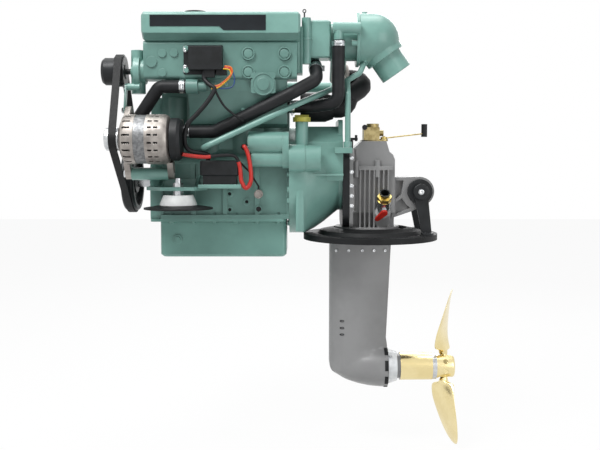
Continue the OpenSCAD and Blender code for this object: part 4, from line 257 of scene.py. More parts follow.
for material, names in (
        (engine_enamel, ("cylinder_head", "rocker_cover", "timing_case", "coolant_pump", "alternator_bracket",
                         "bell_housing", "exhaust_elbow", "intake_manifold", "mount_brackets", "steel_pipes")),
        # The block, the heat exchanger and the exhaust manifold get the darker copy of the enamel: painted shade.
        (painted_shade_enamel, ("cylinder_block", "heat_exchanger", "exhaust_manifold")),
        (sump_enamel, ("oil_sump",)),
        (leg_enamel, ("gear_housing", "drive_leg")),
        (cast_aluminium, ("alternator_housings", "injection_pump", "seawater_pump")),
        (stator_steel, ("alternator_stator",)),
        (zinc_steel, ("alternator_pulley", "throttle_lever", "hose_clamps")),
        (shaft_steel, ("crankshaft", "flywheel", "alternator_rotor", "vertical_shaft", "propeller_shaft")),
        (moulded_rubber, ("air_intake", "drive_belt", "hull_ring")),
        (box_nylon, ("tank_cap", "relay_box", "fuse_box", "alternator_cover")),
        (black_coat, ("pump_pulley", "adapter_plate")),
        (mount_alloy, ("oil_filter",)),
        (cap_plastic, ("oil_cap",)),
        (handle_red, ("seacock_handle",)),
        (anode_zinc, ("shaft_anode",))):
    for name in names:
        finish_node(name, material)

# The rest carry more than one finish. These are the places, in metres, where one ends and the next begins.
crank_z, shaft_z = 0.075, -0.493
tank_shade_y, tank_shade_z = -0.1, 0.4795
turbine_x, turbine_y = 0.428, -0.03
starter_end_x = 0.190
crank_bolt_x, crank_bolt_radius = -0.184, 0.021
filter_bowl_z = 0.26
mount_rubber_z, mount_bolt_z = 0.0112, 0.0389
alternator_screw_x, alternator_screw_y = 0.02, -0.15
rear_screw_x, sump_screw_z = 0.62, -0.03
rear_bolt, rear_bolt_y, rear_bolt_radius = Vector((0.6875, 0, 0.0417)), 0.0645, 0.012
gear_plug_x, gear_plug_y, gear_rod_x = 0.54, -0.0625, 0.508
lever_knob_x = 0.698
cock_base, cock_axis = Vector((0.576, -0.092, -0.016)), Vector((0, -1, 1)).normalized()
cock_shade_reach, cock_shade_radius, cock_brass_reach = 0.058, 0.0145, 0.0545
hub_collar_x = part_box("propeller_hub")[0][0] + 0.0101
hub_ring_low_x, hub_ring_high_x, hub_ring_radius = 0.7368, 0.7498, 0.0385


def along_cock(point):
    """How far a point lies up the seacock from its foot."""
    return (point - cock_base).dot(cock_axis)


# The low near side of the tank, under its overhang, takes the darker enamel: painted shade.
finish_node("expansion_tank", engine_enamel, (lambda p: p.y < tank_shade_y and p.z < tank_shade_z, painted_shade_enamel))
finish_node("turbocharger", engine_enamel, (lambda p: p.x > turbine_x and p.y > turbine_y, cast_aluminium))
finish_node("starter_motor", engine_enamel, (lambda p: p.x < starter_end_x, zinc_steel))
finish_node("crank_pulley", black_coat,
            (lambda p: p.x < crank_bolt_x and round_x(p, 0, crank_z) < crank_bolt_radius, zinc_steel))
finish_node("fuel_filter", cast_aluminium, (lambda p: p.z < filter_bowl_z, black_coat))
finish_node("front_mounts", mount_alloy, (lambda p: p.z < mount_rubber_z, moulded_rubber),
            (lambda p: p.z > mount_bolt_z, zinc_steel))
finish_node("fasteners", engine_enamel,
            (lambda p: p.x < alternator_screw_x and p.y < alternator_screw_y, zinc_steel),
            (lambda p: p.x > rear_screw_x, zinc_steel), (lambda p: p.z < sump_screw_z, sump_enamel))
finish_node("rear_mount", black_coat,
            (lambda p: abs(p.y) > rear_bolt_y and
             math.hypot(p.x - rear_bolt.x, p.z - rear_bolt.z) < rear_bolt_radius, zinc_steel))
finish_node("shift_gear", dull_brass, (lambda p: p.y < gear_plug_y and p.x < gear_plug_x, black_coat),
            (lambda p: p.x < gear_rod_x, black_coat))
finish_node("shift_lever", fitting_brass, (lambda p: p.x > lever_knob_x, box_nylon))
# The inside of the seacock's bore is coloured black: painted shade in the hole.
finish_node("seacock", zinc_steel,
            (lambda p: along_cock(p) > cock_shade_reach and
             (p - cock_base).cross(cock_axis).length < cock_shade_radius, black_coat),
            (lambda p: along_cock(p) > cock_brass_reach, fitting_brass))
finish_node("propeller_hub", prop_bronze, (lambda p: p.x < hub_collar_x, leg_enamel),
            (lambda p: hub_ring_low_x < p.x < hub_ring_high_x and round_x(p, 0, shaft_z) > hub_ring_radius, zinc_steel))
# Each pin is driven in from one side and shows there; its other end is covered with bronze.
finish_node("blade_pins", dull_brass, (lambda p: (p.z - shaft_z) * p.y > 0, prop_bronze))


# Tools for the new pieces
port = Vector((0, -1, 0))
along_y = (math.pi / 2, 0, 0)
along_x = (0, math.pi / 2, 0)
square_on = 0.9          # cosine from which a face counts as looking along an axis


def start_clean():
    """Leaves edit mode and clears the selection, because an operator acts on all that is selected."""
    if bpy.context.object and bpy.context.object.mode != "OBJECT":
        bpy.ops.object.mode_set(mode="OBJECT")
    bpy.ops.object.select_all(action="DESELECT")


def make_active(item):
    start_clean()
    item.select_set(True)
    bpy.context.view_layer.objects.active = item


def apply_modifiers(item):
    make_active(item)
    for modifier in list(item.modifiers):
        bpy.ops.object.modifier_apply(modifier=modifier.name)


def settle(item, name, material, body, smooth=35):
    """Puts a finished piece's place into its mesh, names it, dresses it and lets it ride."""
    apply_modifiers(item)
    bpy.ops.object.transform_apply(location=True, rotation=True, scale=True)
    bpy.ops.object.shade_smooth_by_angle(angle=math.radians(smooth))
    item.name = item.data.name = name
    item.data.materials.clear()
    item.data.materials.append(material)
    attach(item, body)
    return item


def pick_faces(item, test):
    """Selects the faces whose middle and direction pass a test, in edit mode."""
    bpy.ops.object.mode_set(mode="OBJECT")
    for face in item.data.polygons:
        face.select = bool(test(face.center, face.normal))
    for edge in item.data.edges:
        edge.select = False
    for vertex in item.data.vertices:
        vertex.select = False
    for face in item.data.polygons:
        if face.select:
            for index in face.vertices:
                item.data.vertices[index].select = True
    bpy.ops.object.mode_set(mode="EDIT")
    bpy.ops.mesh.select_mode(type="FACE")


# Tests for pick_faces: faces that look up, to port and down
def top_face(middle, direction):
    return direction.z > square_on


def near_face(middle, direction):
    return direction.y < -square_on


def low_face(middle, direction):
    return direction.z < -square_on


def inset(thickness, shift):
    """Insets the chosen faces and moves their middles."""
    bpy.ops.mesh.inset(thickness=thickness)
    bpy.ops.transform.translate(value=shift)


def stepped(thickness, shift):
    """Insets the chosen faces and pulls their middles out, or pushes them in, with square walls."""
    bpy.ops.mesh.inset(thickness=thickness)
    extrude(shift)


def extrude(shift):
    bpy.ops.mesh.extrude_region_move(TRANSFORM_OT_translate={"value": shift})


def blank(shape, place=(0, 0, 0), size=(1, 1, 1), turn=(0, 0, 0)):
    """A block one metre wide, or a cylinder given as vertices, radius and depth, with its place in its mesh."""
    start_clean()
    if shape == "block":
        bpy.ops.mesh.primitive_cube_add(size=1, location=place)
    else:
        bpy.ops.mesh.primitive_cylinder_add(vertices=shape[0], radius=shape[1], depth=shape[2], location=place,
                                            rotation=turn)
    item = bpy.context.object
    item.scale = size
    bpy.ops.object.transform_apply(location=True, rotation=True, scale=True)
    return item


def eased(item, width, segments=2):
    """Leaves edit mode and rounds the sharp edges."""
    bpy.ops.object.mode_set(mode="OBJECT")
    bevel = item.modifiers.new("eased_edges", "BEVEL")
    bevel.width = width
    bevel.segments = segments
    bevel.limit_method = "ANGLE"
    bevel.angle_limit = math.radians(40)


def facing(place, direction):
    """The turn that brings a piece drawn along +Z at the origin to a place, pointing in a direction."""
    return Matrix.Translation(place) @ direction.to_track_quat("Z", "Y").to_matrix().to_4x4()


def both_sides(spots):
    """Turned places at spots on the port side, and at their mirror images to starboard."""
    flip = Vector((1, -1, 1))
    return [facing(p, n) for p, n in spots] + [facing(p * flip, n * flip) for p, n in spots]


def copies(pattern, name, places, material, body):
    """Copies of one modelled piece, each with its own mesh, joined under one name."""
    made = []
    for matrix in places:
        twin = pattern.copy()
        twin.data = pattern.data.copy()
        bpy.context.collection.objects.link(twin)
        twin.data.transform(matrix)
        made.append(twin)
    start_clean()
    for twin in made:
        twin.select_set(True)
    bpy.context.view_layer.objects.active = made[0]
    if len(made) > 1:
        bpy.ops.object.join()
    settle(bpy.context.object, name, material, body)


def hexagon_screw(across, height, flange):
    """A flanged hexagon head along +Z, with its chamfered crown and a shallow dish."""
    head = blank((6, across / 2, height), (0, 0, height / 2))
    pick_faces(head, top_face)
    inset(across * 0.1, (0, 0, height * 0.12))
    inset(across * 0.16, (0, 0, -height * 0.14))
    pick_faces(head, low_face)
    bpy.ops.mesh.delete(type="FACE")
    washer = blank((20, flange / 2, height * 0.3), (0, 0, height * 0.05))
    eased(washer, height * 0.08)
    apply_modifiers(washer)
    head.select_set(True)
    bpy.context.view_layer.objects.active = head
    bpy.ops.object.join()
    return head


def socket_screw(across, height):
    """A round head along +Z with a recess for the key."""
    head = blank((24, across / 2, height), (0, 0, height / 2))
    pick_faces(head, top_face)
    stepped(across * 0.22, (0, 0, -height * 0.6))
    eased(head, height * 0.08)
    apply_modifiers(head)
    return head


run_share = 0.48         # a bend takes up less than half of each run beside it
straight = 0.01          # half the turn, in radians, below which a corner has no bend


def route_points(corners, bend, steps=8):
    """Points along straight runs that are joined by round bends."""
    points = [Vector(corners[0])]
    for before, corner, after in zip(corners, corners[1:], corners[2:]):
        before, corner, after = Vector(before), Vector(corner), Vector(after)
        into, out = (corner - before).normalized(), (after - corner).normalized()
        half = into.angle(out) / 2
        reach = min(bend * math.tan(half), run_share * (corner - before).length, run_share * (after - corner).length)
        if half < straight:
            points.append(corner)
            continue
        radius = reach / math.tan(half)
        centre = corner + (out - into).normalized() * (radius / math.cos(half))
        arm = (corner - into * reach) - centre
        axis = into.cross(out).normalized()
        for k in range(steps + 1):
            points.append(centre + Matrix.Rotation(2 * half * k / steps, 3, axis) @ arm)
    points.append(Vector(corners[-1]))
    return points


def even_points(points, step):
    """The same path with points at even steps."""
    made, left = [points[0]], step
    for a, b in zip(points, points[1:]):
        length = (b - a).length
        along = left
        while along < length:
            made.append(a + (b - a) * (along / length))
            along += step
        left = along - length
    made.append(points[-1])
    return made


def tube(name, points, radius, material, body, ribs=0.0, hide=()):
    """A round tube along points, with closed ends; ribs is how deep its rings are, hide what it stands for."""
    curve = bpy.data.curves.new(name, "CURVE")
    curve.dimensions = "3D"
    curve.bevel_depth = radius
    curve.bevel_resolution = 6
    curve.use_fill_caps = True
    spline = curve.splines.new("POLY")
    spline.points.add(len(points) - 1)
    for k, (target, point) in enumerate(zip(spline.points, points)):
        target.co = (*point, 1)
        target.radius = 1 - (ribs if k % 4 >= 2 else 0)
    item = bpy.data.objects.new(name, curve)
    bpy.context.collection.objects.link(item)
    make_active(item)
    bpy.ops.object.convert(target="MESH")
    item = bpy.context.object
    settle(item, name, material, body, smooth=50)
    if hide:
        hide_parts(*hide)


# Folding blades
# Rings of a blade from its pin to its tip, in millimetres: distance from the pin, chord, thickness, rake, and the
# share of the propeller's pitch angle that the ring is turned by.
blade_rings = [(16, 24, 18, 0, 0.0), (22, 28, 25, -1, 0.0), (28, 31, 28, -2, 0.2), (33, 40, 26, -2, 0.6),
               (35.5, 70, 22, -2, 0.95), (40, 85, 18, -4, 1.0), (51, 94, 15.5, -5, 1.0), (68, 104, 13.5, -5, 1.0),
               (88, 113, 11.6, -3, 1.0), (111, 119, 10.0, 2, 1.0), (134, 120, 8.6, 7, 1.0), (156, 115, 7.3, 12, 1.0),
               (177, 102, 6.1, 17, 1.0), (195, 83, 5.0, 22, 1.0), (208, 59, 4.1, 26, 1.0), (215, 36, 3.3, 29, 1.0),
               (219, 14, 2.4, 31, 1.0)]
blade_advance = 300          # millimetres that the propeller's screw moves on in a turn
pin_offset = 15              # millimetres from the shaft's axis to a pin
propeller_turn = math.radians(-10)
root_reach = 0.026           # metres from the pin at which the CAD blade is cut off, to keep its geared root


def merged_copy(node):
    """A copy of a CAD node's mesh with its loose triangles joined, ready to be cut."""
    start_clean()
    twin = nodes[node].copy()
    twin.data = nodes[node].data.copy()
    twin.modifiers.clear()
    twin.parent = None
    bpy.context.collection.objects.link(twin)
    make_active(twin)
    bpy.ops.mesh.customdata_custom_splitnormals_clear()
    bpy.ops.object.mode_set(mode="EDIT")
    bpy.ops.mesh.select_all(action="SELECT")
    bpy.ops.mesh.remove_doubles(threshold=weld_distance)
    return twin


def folding_blade(name, node, body, joint):
    """A blade drawn ring by ring along +Z, twisted by its pitch, on the geared root of its CAD node."""
    pin = Vector(next(j for j in frame["joints"] if j["name"] == joint)["pos_m"])
    outward = Vector((0, pin.y, pin.z - shaft_z)).normalized()
    start_clean()
    bpy.ops.mesh.primitive_circle_add(vertices=32, radius=0.0005, fill_type="NGON", location=(0, 0, 0))
    blade = bpy.context.object
    bpy.ops.object.mode_set(mode="EDIT")
    bpy.ops.mesh.select_all(action="SELECT")
    before = (0, 1, 1)         # distance, chord and thickness of the ring before
    for reach, chord, thick, _, _ in blade_rings:
        onward = {"value": (0, 0, (reach - before[0]) / 1000)}
        if before[0]:
            bpy.ops.mesh.extrude_region_move(TRANSFORM_OT_translate=onward)
        else:
            bpy.ops.transform.translate(**onward)
        bpy.ops.transform.resize(value=(thick / before[2], chord / before[1], 1),
                                 center_override=(0, 0, reach / 1000))
        before = (reach, chord, thick)
    bpy.ops.mesh.select_all(action="SELECT")
    bpy.ops.mesh.normals_make_consistent(inside=False)
    bpy.ops.object.mode_set(mode="OBJECT")
    turned = Matrix.Rotation(propeller_turn + (math.pi if outward.z < 0 else 0), 4, "X")
    for point in blade.data.vertices:
        ring = min(blade_rings, key=lambda r: abs(r[0] / 1000 - point.co.z))
        angle = ring[4] * math.atan(blade_advance / (2 * math.pi * (ring[0] + pin_offset)))
        point.co = Vector((ring[3] / 1000, 0, 0)) + Matrix.Rotation(-angle, 3, "Z") @ point.co
    blade.data.transform(Matrix.Translation(pin) @ turned)
    rounded = blade.modifiers.new("rounded", "SUBSURF")
    rounded.levels = rounded.render_levels = 2
    apply_modifiers(blade)
    merged_copy(node)
    bpy.ops.mesh.bisect(plane_co=pin + outward * root_reach, plane_no=outward, clear_outer=True, use_fill=True)
    bpy.ops.object.mode_set(mode="OBJECT")
    blade.select_set(True)
    bpy.ops.object.join()
    made = settle(bpy.context.object, name, prop_bronze, body)
    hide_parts(node)


folding_blade("upper_propeller_blade", "blade_upper", "upper_blade", "upper_fold")
folding_blade("lower_propeller_blade", "blade_lower", "lower_blade", "lower_fold")

# Leg: its front lower corner is rounded off, as the casting is, by planes around an arc.
leg_corner = seen_at(329.3, 369, 0)
leg_front, leg_bottom = Vector((-1, 0, 0)), Vector((-0.395, 0, -0.92)).normalized()
corner_radius = 0.034
corner_planes = 8
half_turn = leg_front.angle(leg_bottom) / 2
arc_middle = leg_corner - (leg_front + leg_bottom).normalized() * (corner_radius / math.cos(half_turn))
leg = merged_copy("drive_leg")
for k in range(1, corner_planes):
    direction = leg_front.slerp(leg_bottom, k / corner_planes)
    bpy.ops.mesh.select_all(action="SELECT")
    bpy.ops.mesh.bisect(plane_co=arc_middle + direction * corner_radius, plane_no=direction, clear_outer=True,
                        use_fill=True)
bpy.ops.object.mode_set(mode="OBJECT")
settle(leg, "leg_casting", leg_enamel, "engine", smooth=34)
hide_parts("drive_leg")

# Hoses
front_hose_corners = [(0.0237, -0.188, 0.336), (-0.05, -0.188, 0.336), (-0.118, -0.165, 0.243),
                      (-0.142, -0.135, 0.205), (-0.0923, -0.135, 0.205)]
long_hose_corners = [(0.0063, -0.153, 0.214), (0.096, -0.153, 0.214), (0.314, -0.188, 0.319),
                     (0.383, -0.164, 0.358), (0.380, -0.124, 0.392), (0.379, -0.110, 0.4039)]
aft_hose_corners = [(0.4435, -0.142, 0.4679), (0.4435, -0.142, 0.294), (0.370, -0.112, 0.286),
                    (0.3003, -0.112, 0.286)]
hose_radius = 0.018
for name, corners, bend, node in (("front_coolant_hose", front_hose_corners, 0.024, "front_hose"),
                                  ("long_seawater_hose", long_hose_corners, 0.03, "long_hose"),
                                  ("aft_coolant_hose", aft_hose_corners, 0.03, "aft_hose")):
    tube(name, route_points(corners, bend), hose_radius, hose_rubber, "engine", hide=[node])

# Cables
def flowing(corners, steps=7):
    """Points along a smooth curve through corners, as a loose cable lies."""
    corners = [Vector(c) for c in corners]
    ends = [2 * corners[0] - corners[1]] + corners + [2 * corners[-1] - corners[-2]]
    points = []
    for a, b, c, d in zip(ends, ends[1:], ends[2:], ends[3:]):
        for k in range(steps):
            t = k / steps
            points.append(0.5 * (2 * b + (c - a) * t + (2 * a - 5 * b + 4 * c - d) * t * t
                                 + (3 * b - a - 3 * c + d) * t ** 3))
    return points + [corners[-1]]


loom_corners = [seen_at(u, v, y) for u, v, y in (
    (204, 70, -0.2), (204.5, 79, -0.203), (210, 85, -0.212), (214.5, 89, -0.217), (208, 101, -0.22), (197, 114, -0.222),
    (188, 124, -0.222), (184.5, 138, -0.22), (189, 150, -0.206))] + [(0.080, -0.182, 0.150), (0.080, -0.178, 0.1343)]
branch_corners = [seen_at(u, v, y) for u, v, y in (
    (214.5, 88, -0.216), (218, 96, -0.216), (225, 107, -0.214), (236, 116, -0.205), (243, 121, -0.19))]
plug_corners = [seen_at(u, v, y) for u, v, y in (
    (212, 87.5, -0.216), (219, 86, -0.217), (227, 79.5, -0.217), (231.5, 74, -0.214), (230, 68.5, -0.211),
    (224, 67.5, -0.207))]
blue_corners = [seen_at(u, v, y) for u, v, y in (
    (214, 87.5, -0.215), (224, 88.5, -0.216), (232.5, 86.5, -0.216), (234.5, 79, -0.215), (231.5, 70.5, -0.212),
    (224, 68.5, -0.207))]
power_corners = [(0.0194, -0.252, 0.151), (0.048, -0.240, 0.146), (0.080, -0.228, 0.1435), (0.125, -0.217, 0.148),
                 (0.158, -0.212, 0.145), (0.171, -0.210, 0.118), (0.175, -0.209, 0.078), (0.188, -0.208, 0.058),
                 (0.201, -0.206, 0.078), (0.199, -0.203, 0.122), (0.192, -0.201, 0.155), (0.184, -0.200, 0.171),
                 (0.181, -0.190, 0.1705), (0.181, -0.1768, 0.1705)]
sensor_corners = [(0.168, -0.210, 0.133), (0.196, -0.178, 0.101), (0.219, -0.148, 0.061), (0.219, -0.146, 0.045)]
tube("relay_loom", flowing(loom_corners), 0.0062, cable_black, "engine", hide=["wiring"])
tube("loom_branch", flowing(branch_corners), 0.0031, cable_black, "engine")
tube("blue_lead", flowing(blue_corners), 0.0019, cable_blue, "engine")
for colour, shift, name in ((cable_yellow, -0.0036, "yellow_lead"), (cable_red, 0.0, "red_lead"),
                            (cable_orange, 0.0036, "orange_lead")):
    tube(name, [p + Vector((shift * 0.5, -0.0006, shift)) for p in flowing(plug_corners)], 0.0021, colour, "engine")
power_points = even_points(flowing(power_corners), 0.0012)
sheath_end_x, red_start_x = 0.092, 0.168
split_a = next(k for k, p in enumerate(power_points) if p.x > sheath_end_x)
split_b = next(k for k, p in enumerate(power_points) if p.x > red_start_x)
tube("charging_cable_sheath", power_points[:split_a], 0.0055, cable_red, "engine", ribs=0.14)
tube("charging_cable", power_points[split_a - 2:split_b], 0.0045, cable_black, "engine")
tube("starter_cable", power_points[split_b - 2:], 0.0058, cable_red, "engine")
tube("sensor_lead", route_points(sensor_corners, 0.008), 0.0026, cable_black, "engine")

# Oil pressure sensor with a rim and a dished front
sensor = blank((24, 0.0125, 0.032), (0.219, -0.1433, 0.039), turn=along_y)
pick_faces(sensor, near_face)
stepped(0.0022, (0, -0.004, 0))
inset(0.0015, (0, 0.003, 0))
eased(sensor, 0.0007)
settle(sensor, "oil_pressure_sensor", cast_aluminium, "engine")

# Rubber boot over the starter's terminal
boot = blank((20, 0.0085, 0.03), (0.181, -0.1768, 0.1705), turn=along_y)
pick_faces(boot, near_face)
extrude((0, -0.006, 0))
bpy.ops.transform.resize(value=(0.65, 1, 0.65), center_override=(0.181, -0.198, 0.1705))
eased(boot, 0.0015, 3)
settle(boot, "terminal_boot", moulded_rubber, "engine")

# Bare plate on the tank, with its slanted step
tank_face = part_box("expansion_tank")[0][1]
plate_top_left = seen_at(149.5, 14.7, tank_face)
plate_bottom_right = seen_at(265.8, 30.2, tank_face)
step_place = seen_at(219.0, 26.2, tank_face)
plate_thickness, step_slant = 0.0016, 0.012
plate_width = plate_bottom_right.x - plate_top_left.x
plate = blank("block", (plate_top_left.x + plate_width / 2, tank_face - plate_thickness / 2,
                        (plate_top_left.z + step_place.z) / 2),
              (plate_width, plate_thickness, plate_top_left.z - step_place.z))
bpy.ops.object.mode_set(mode="EDIT")
bpy.ops.mesh.select_all(action="SELECT")
bpy.ops.mesh.bisect(plane_co=step_place, plane_no=(1, 0, 0.6))
pick_faces(plate, lambda c, n: low_face(c, n) and c.x > step_place.x)
extrude((0, 0, plate_bottom_right.z - step_place.z))
low_width = plate_bottom_right.x - step_place.x
bpy.ops.transform.resize(value=((low_width - step_slant) / low_width, 1, 1), center_override=plate_bottom_right)
pick_faces(plate, near_face)
inset(0.0018, (0, 0.0004, 0))
eased(plate, 0.0004)
settle(plate, "bare_plate", plate_laminate, "engine")

# Screws that show on the near side
screw_big = hexagon_screw(0.0125, 0.0075, 0.0165)
screw_small = hexagon_screw(0.009, 0.0055, 0.012)
screw_round = socket_screw(0.0085, 0.0045)


def on_places(spots, node):
    """Turned places of screws at spots of the photograph, standing on a node."""
    return [facing(*touch(u, v, node)) for u, v in spots]


flange_spots = [(351.6, v) for v in (158, 172, 186, 196, 206)]
copies(screw_small, "gear_flange_screws", on_places(flange_spots, "gear_housing"), zinc_steel, "engine")
leg_spots = [touch(u, 250.5, "leg_casting") for u in (336.8, 348.8, 362, 373.5, 384.5)]
copies(screw_round, "leg_screws", both_sides(leg_spots), zinc_steel, "engine")
manifold_spots = [(226, 84), (243, 110)]
copies(screw_small, "manifold_screws", on_places(manifold_spots, "exhaust_manifold"), engine_enamel, "engine")
relay_spots = [(185.2, 50), (185.2, 67)]
copies(screw_small, "relay_screws", on_places(relay_spots, "relay_box"), zinc_steel, "engine")

# Core plugs of the heat exchanger: a collar, a groove and the raised middle of the plug
core_plug = blank((40, 0.018, 0.008), (0, 0, 0.0015))
pick_faces(core_plug, top_face)
stepped(0.0034, (0, 0, -0.004))
stepped(0.0024, (0, 0, 0.0032))
eased(core_plug, 0.0007)
apply_modifiers(core_plug)
core_spots = [(248.3, 53.6), (284.4, 53.6), (248.3, 72), (284.4, 72)]
# The core plugs take the darker copy of the enamel, as painted shade.
copies(core_plug, "core_plugs", on_places(core_spots, "heat_exchanger"), painted_shade_enamel, "engine")

# Plugged holes low on the block: a cast collar with a black socket plug in it
collar = blank((28, 0.0105, 0.006), (0, 0, 0.001))
pick_faces(collar, top_face)
stepped(0.0028, (0, 0, -0.0036))
eased(collar, 0.0005)
apply_modifiers(collar)
collar_places = on_places([(230, 193.7), (246.7, 201.7), (230, 209), (258.7, 209)], "cylinder_block")
# The collars take the darker copy of the enamel, as painted shade.
copies(collar, "block_collars", collar_places, painted_shade_enamel, "engine")
plug = socket_screw(0.0142, 0.002)
copies(plug, "block_plugs", collar_places, black_coat, "engine")

# Round cover of the square hatch, with its middle boss
hatch = blank((44, 0.0305, 0.012))
pick_faces(hatch, top_face)
stepped(0.003, (0, 0, -0.0022))
inset(0.0105, (0, 0, 0.0012))
extrude((0, 0, 0.0042))
bpy.ops.mesh.inset(thickness=0.002)
eased(hatch, 0.0008)
apply_modifiers(hatch)
hatch_spot = touch(263.3, 84.3, "exhaust_manifold")[0]
# The hatch cover takes the darker copy of the enamel, as painted shade.
copies(hatch, "hatch_cover", [facing(hatch_spot, port)], painted_shade_enamel, "engine")

# Dished rubber caps over the ends of the rear mount's bush, with a plated screw in each
bush_cap = blank((36, 0.0235, 0.006), (0, 0, 0.003))
pick_faces(bush_cap, top_face)
inset(0.004, (0, 0, 0.0015))
inset(0.008, (0, 0, -0.001))
eased(bush_cap, 0.001)
apply_modifiers(bush_cap)
bush_end = Vector((0.687, touch(420.3, 190.5, "fasteners")[0].y, 0.042))
cap_thickness = 0.006
copies(bush_cap, "rear_bush_caps", both_sides([(bush_end, port)]), black_coat, "engine")
copies(screw_big, "rear_bush_screws", both_sides([(bush_end + port * cap_thickness, port)]), zinc_steel, "engine")

# Water intake slots of the leg, three on each side
intake = blank((20, 0.0036, 0.003), (0, 0, 0.0003), (1.9, 0.8, 1))
pick_faces(intake, top_face)
stepped(0.0012, (0, 0, -0.002))
bpy.ops.object.mode_set(mode="OBJECT")
intake_spots = [touch(342, v, "leg_casting") for v in (321, 328, 334.5)]
copies(intake, "water_intakes", both_sides(intake_spots), black_coat, "engine")

# One screw on each side of the zinc anode
copies(screw_round, "anode_screws", both_sides([touch(390.5, 357, "shaft_anode")]), zinc_steel, "engine")

for pattern in (screw_big, screw_small, screw_round, intake, core_plug, hatch, bush_cap, collar, plug):
    bpy.data.objects.remove(pattern)

# Joint flange between the heat exchanger and the turbocharger, with a milled groove along each side
joint_flange = blank("block", (0.3355, -0.118, 0.440), (0.0158, 0.072, 0.128))
groove_edge, groove_depth = 0.0045, 0.003
for side in (-1, 1):
    pick_faces(joint_flange, lambda c, n: n.y * side > square_on)
    stepped(groove_edge, (0, -groove_depth * side, 0))
eased(joint_flange, 0.0008)
settle(joint_flange, "exchanger_joint_flange", engine_enamel, "engine")

# Upright pad low on the near side of the bell housing, at its joint with the block
pad_top, pad_bottom = seen_at(300, 168, -0.135), seen_at(300, 231, -0.135)
bell_pad = blank("block", (pad_top.x, -0.128, (pad_top.z + pad_bottom.z) / 2), (0.024, 0.05, pad_top.z - pad_bottom.z))
pick_faces(bell_pad, near_face)
inset(0.004, (0, -0.003, 0))
eased(bell_pad, 0.0015)
settle(bell_pad, "bell_housing_pad", engine_enamel, "engine")

# Dipstick with its loop handle, in the flange behind the tank
stick_x, stick_y = 0.3485, -0.118
start_clean()
bpy.ops.mesh.primitive_torus_add(major_radius=0.0042, minor_radius=0.0014, major_segments=28, minor_segments=10,
                                 location=(stick_x, stick_y, 0.5518), rotation=along_y)
handle_ring = bpy.context.object
stick = blank((14, 0.0022, 0.05), (stick_x, stick_y, 0.5205))
pick_faces(stick, top_face)
extrude((0, 0, 0.002))
bpy.ops.transform.resize(value=(0.6, 0.6, 1), center_override=(stick_x, stick_y, 0.5475))
bpy.ops.object.mode_set(mode="OBJECT")
handle_ring.select_set(True)
bpy.ops.object.join()
settle(bpy.context.object, "dipstick", box_nylon, "engine")

# Tray that carries the fuse box, with a lip along its front
tray = blank("block", (0.1155, -0.178, 0.0662), (0.118, 0.07, 0.004))
tray_front_y = -0.213
pick_faces(tray, near_face)
extrude((0, -0.003, 0))
pick_faces(tray, lambda c, n: low_face(c, n) and c.y < tray_front_y)
extrude((0, 0, -0.007))
eased(tray, 0.001)
settle(tray, "fuse_box_tray", engine_enamel, "engine")

# Black toothed ring between the leg and the anode, painted shade for the dark gap there: each tooth takes five of every
# eight faces round its rim
rim_faces = 64
shade_ring = blank((rim_faces, 0.0614, 0.011), (0.5955, 0, shaft_z), turn=along_x)
pick_faces(shade_ring, lambda c, n: abs(n.x) < 0.1
           and round(math.atan2(c.y, c.z - shaft_z) * rim_faces / (2 * math.pi) - 0.5) % 8 < 5)
bpy.ops.mesh.extrude_region_shrink_fatten(TRANSFORM_OT_shrink_fatten={"value": 0.0018})
eased(shade_ring, 0.0006)
settle(shade_ring, "leg_end_shade_ring", moulded_rubber, "engine")

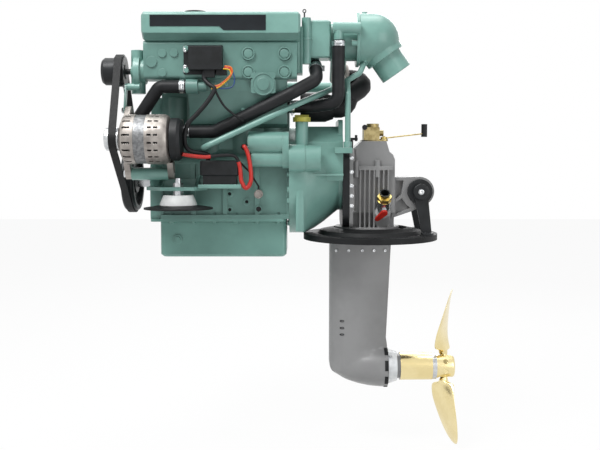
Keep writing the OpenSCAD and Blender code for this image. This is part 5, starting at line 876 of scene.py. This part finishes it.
# Studio
floor_gap = 0.0005
floor_z = cad_low[2] - floor_gap
start_clean()
bpy.ops.mesh.primitive_plane_add(size=14, location=(0.33, 2, floor_z))
floor = bpy.context.object
floor.name = "studio_floor"
floor_paper = bpy.data.materials.new("white_paper_floor")
floor_paper.use_nodes = True
floor_paper.node_tree.nodes.clear()
ray = add(floor_paper, "ShaderNodeLightPath")
shine = add(floor_paper, "ShaderNodeMath", {"operation": "MAXIMUM"},
            links={0: ray.outputs["Is Camera Ray"], 1: ray.outputs["Is Glossy Ray"]})
share = add(floor_paper, "ShaderNodeMath", {"operation": "MULTIPLY"}, {1: 0.94}, {0: shine.outputs[0]})
paper = add(floor_paper, "ShaderNodeBsdfDiffuse", values={"Color": linear("#EFEFEF")})
glow = add(floor_paper, "ShaderNodeEmission", values={"Color": (1, 1, 1, 1), "Strength": 1.0})
both = add(floor_paper, "ShaderNodeMixShader", links={0: share.outputs[0], 1: paper.outputs[0], 2: glow.outputs[0]})
add(floor_paper, "ShaderNodeOutputMaterial", links={"Surface": both.outputs[0]})
floor.data.materials.append(floor_paper)

# The world lights matt surfaces weakly and is white to the camera and in reflections.
world = bpy.data.worlds.new("studio_world")
bpy.context.scene.world = world
world.use_nodes = True
world.node_tree.nodes.clear()
ray = add(world, "ShaderNodeLightPath")
mirrored = add(world, "ShaderNodeMath", {"operation": "MAXIMUM"},
               links={0: ray.outputs["Is Glossy Ray"], 1: ray.outputs["Is Transmission Ray"]})
shown = add(world, "ShaderNodeMath", {"operation": "MAXIMUM"},
            links={0: ray.outputs["Is Camera Ray"], 1: mirrored.outputs[0]})
dim = add(world, "ShaderNodeBackground", values={"Color": (0.93, 0.96, 1.0, 1), "Strength": 0.25})
bright = add(world, "ShaderNodeBackground", values={"Color": (1, 1, 1, 1), "Strength": 1.0})
sky = add(world, "ShaderNodeMixShader", links={0: shown.outputs[0], 1: dim.outputs[0], 2: bright.outputs[0]})
add(world, "ShaderNodeOutputWorld", links={"Surface": sky.outputs[0]})


def softbox(name, place, aim, size, power):
    """A rectangular studio light that points at a place of the object."""
    lamp = bpy.data.lights.new(name, "AREA")
    lamp.shape = "RECTANGLE"
    lamp.size, lamp.size_y = size
    lamp.energy = power
    item = bpy.data.objects.new(name, lamp)
    item.location = place
    item.rotation_euler = (Vector(aim) - Vector(place)).to_track_quat("-Z", "Y").to_euler()
    bpy.context.collection.objects.link(item)


softbox("key_softbox", (-0.9, -1.6, 2.5), (0.25, 0, 0.15), (1.3, 1.3), 80)
softbox("fill_softbox", (2.2, -2.1, 0.6), (0.35, 0, 0.0), (1.6, 1.8), 18)
softbox("top_softbox", (0.3, 0.3, 2.4), (0.3, 0, 0.1), (2.0, 1.4), 34)
softbox("back_softbox", (0.8, 2.4, 1.4), (0.3, 0, 0.1), (2.0, 1.2), 34)

bpy.context.scene.view_settings.view_transform = "Standard"
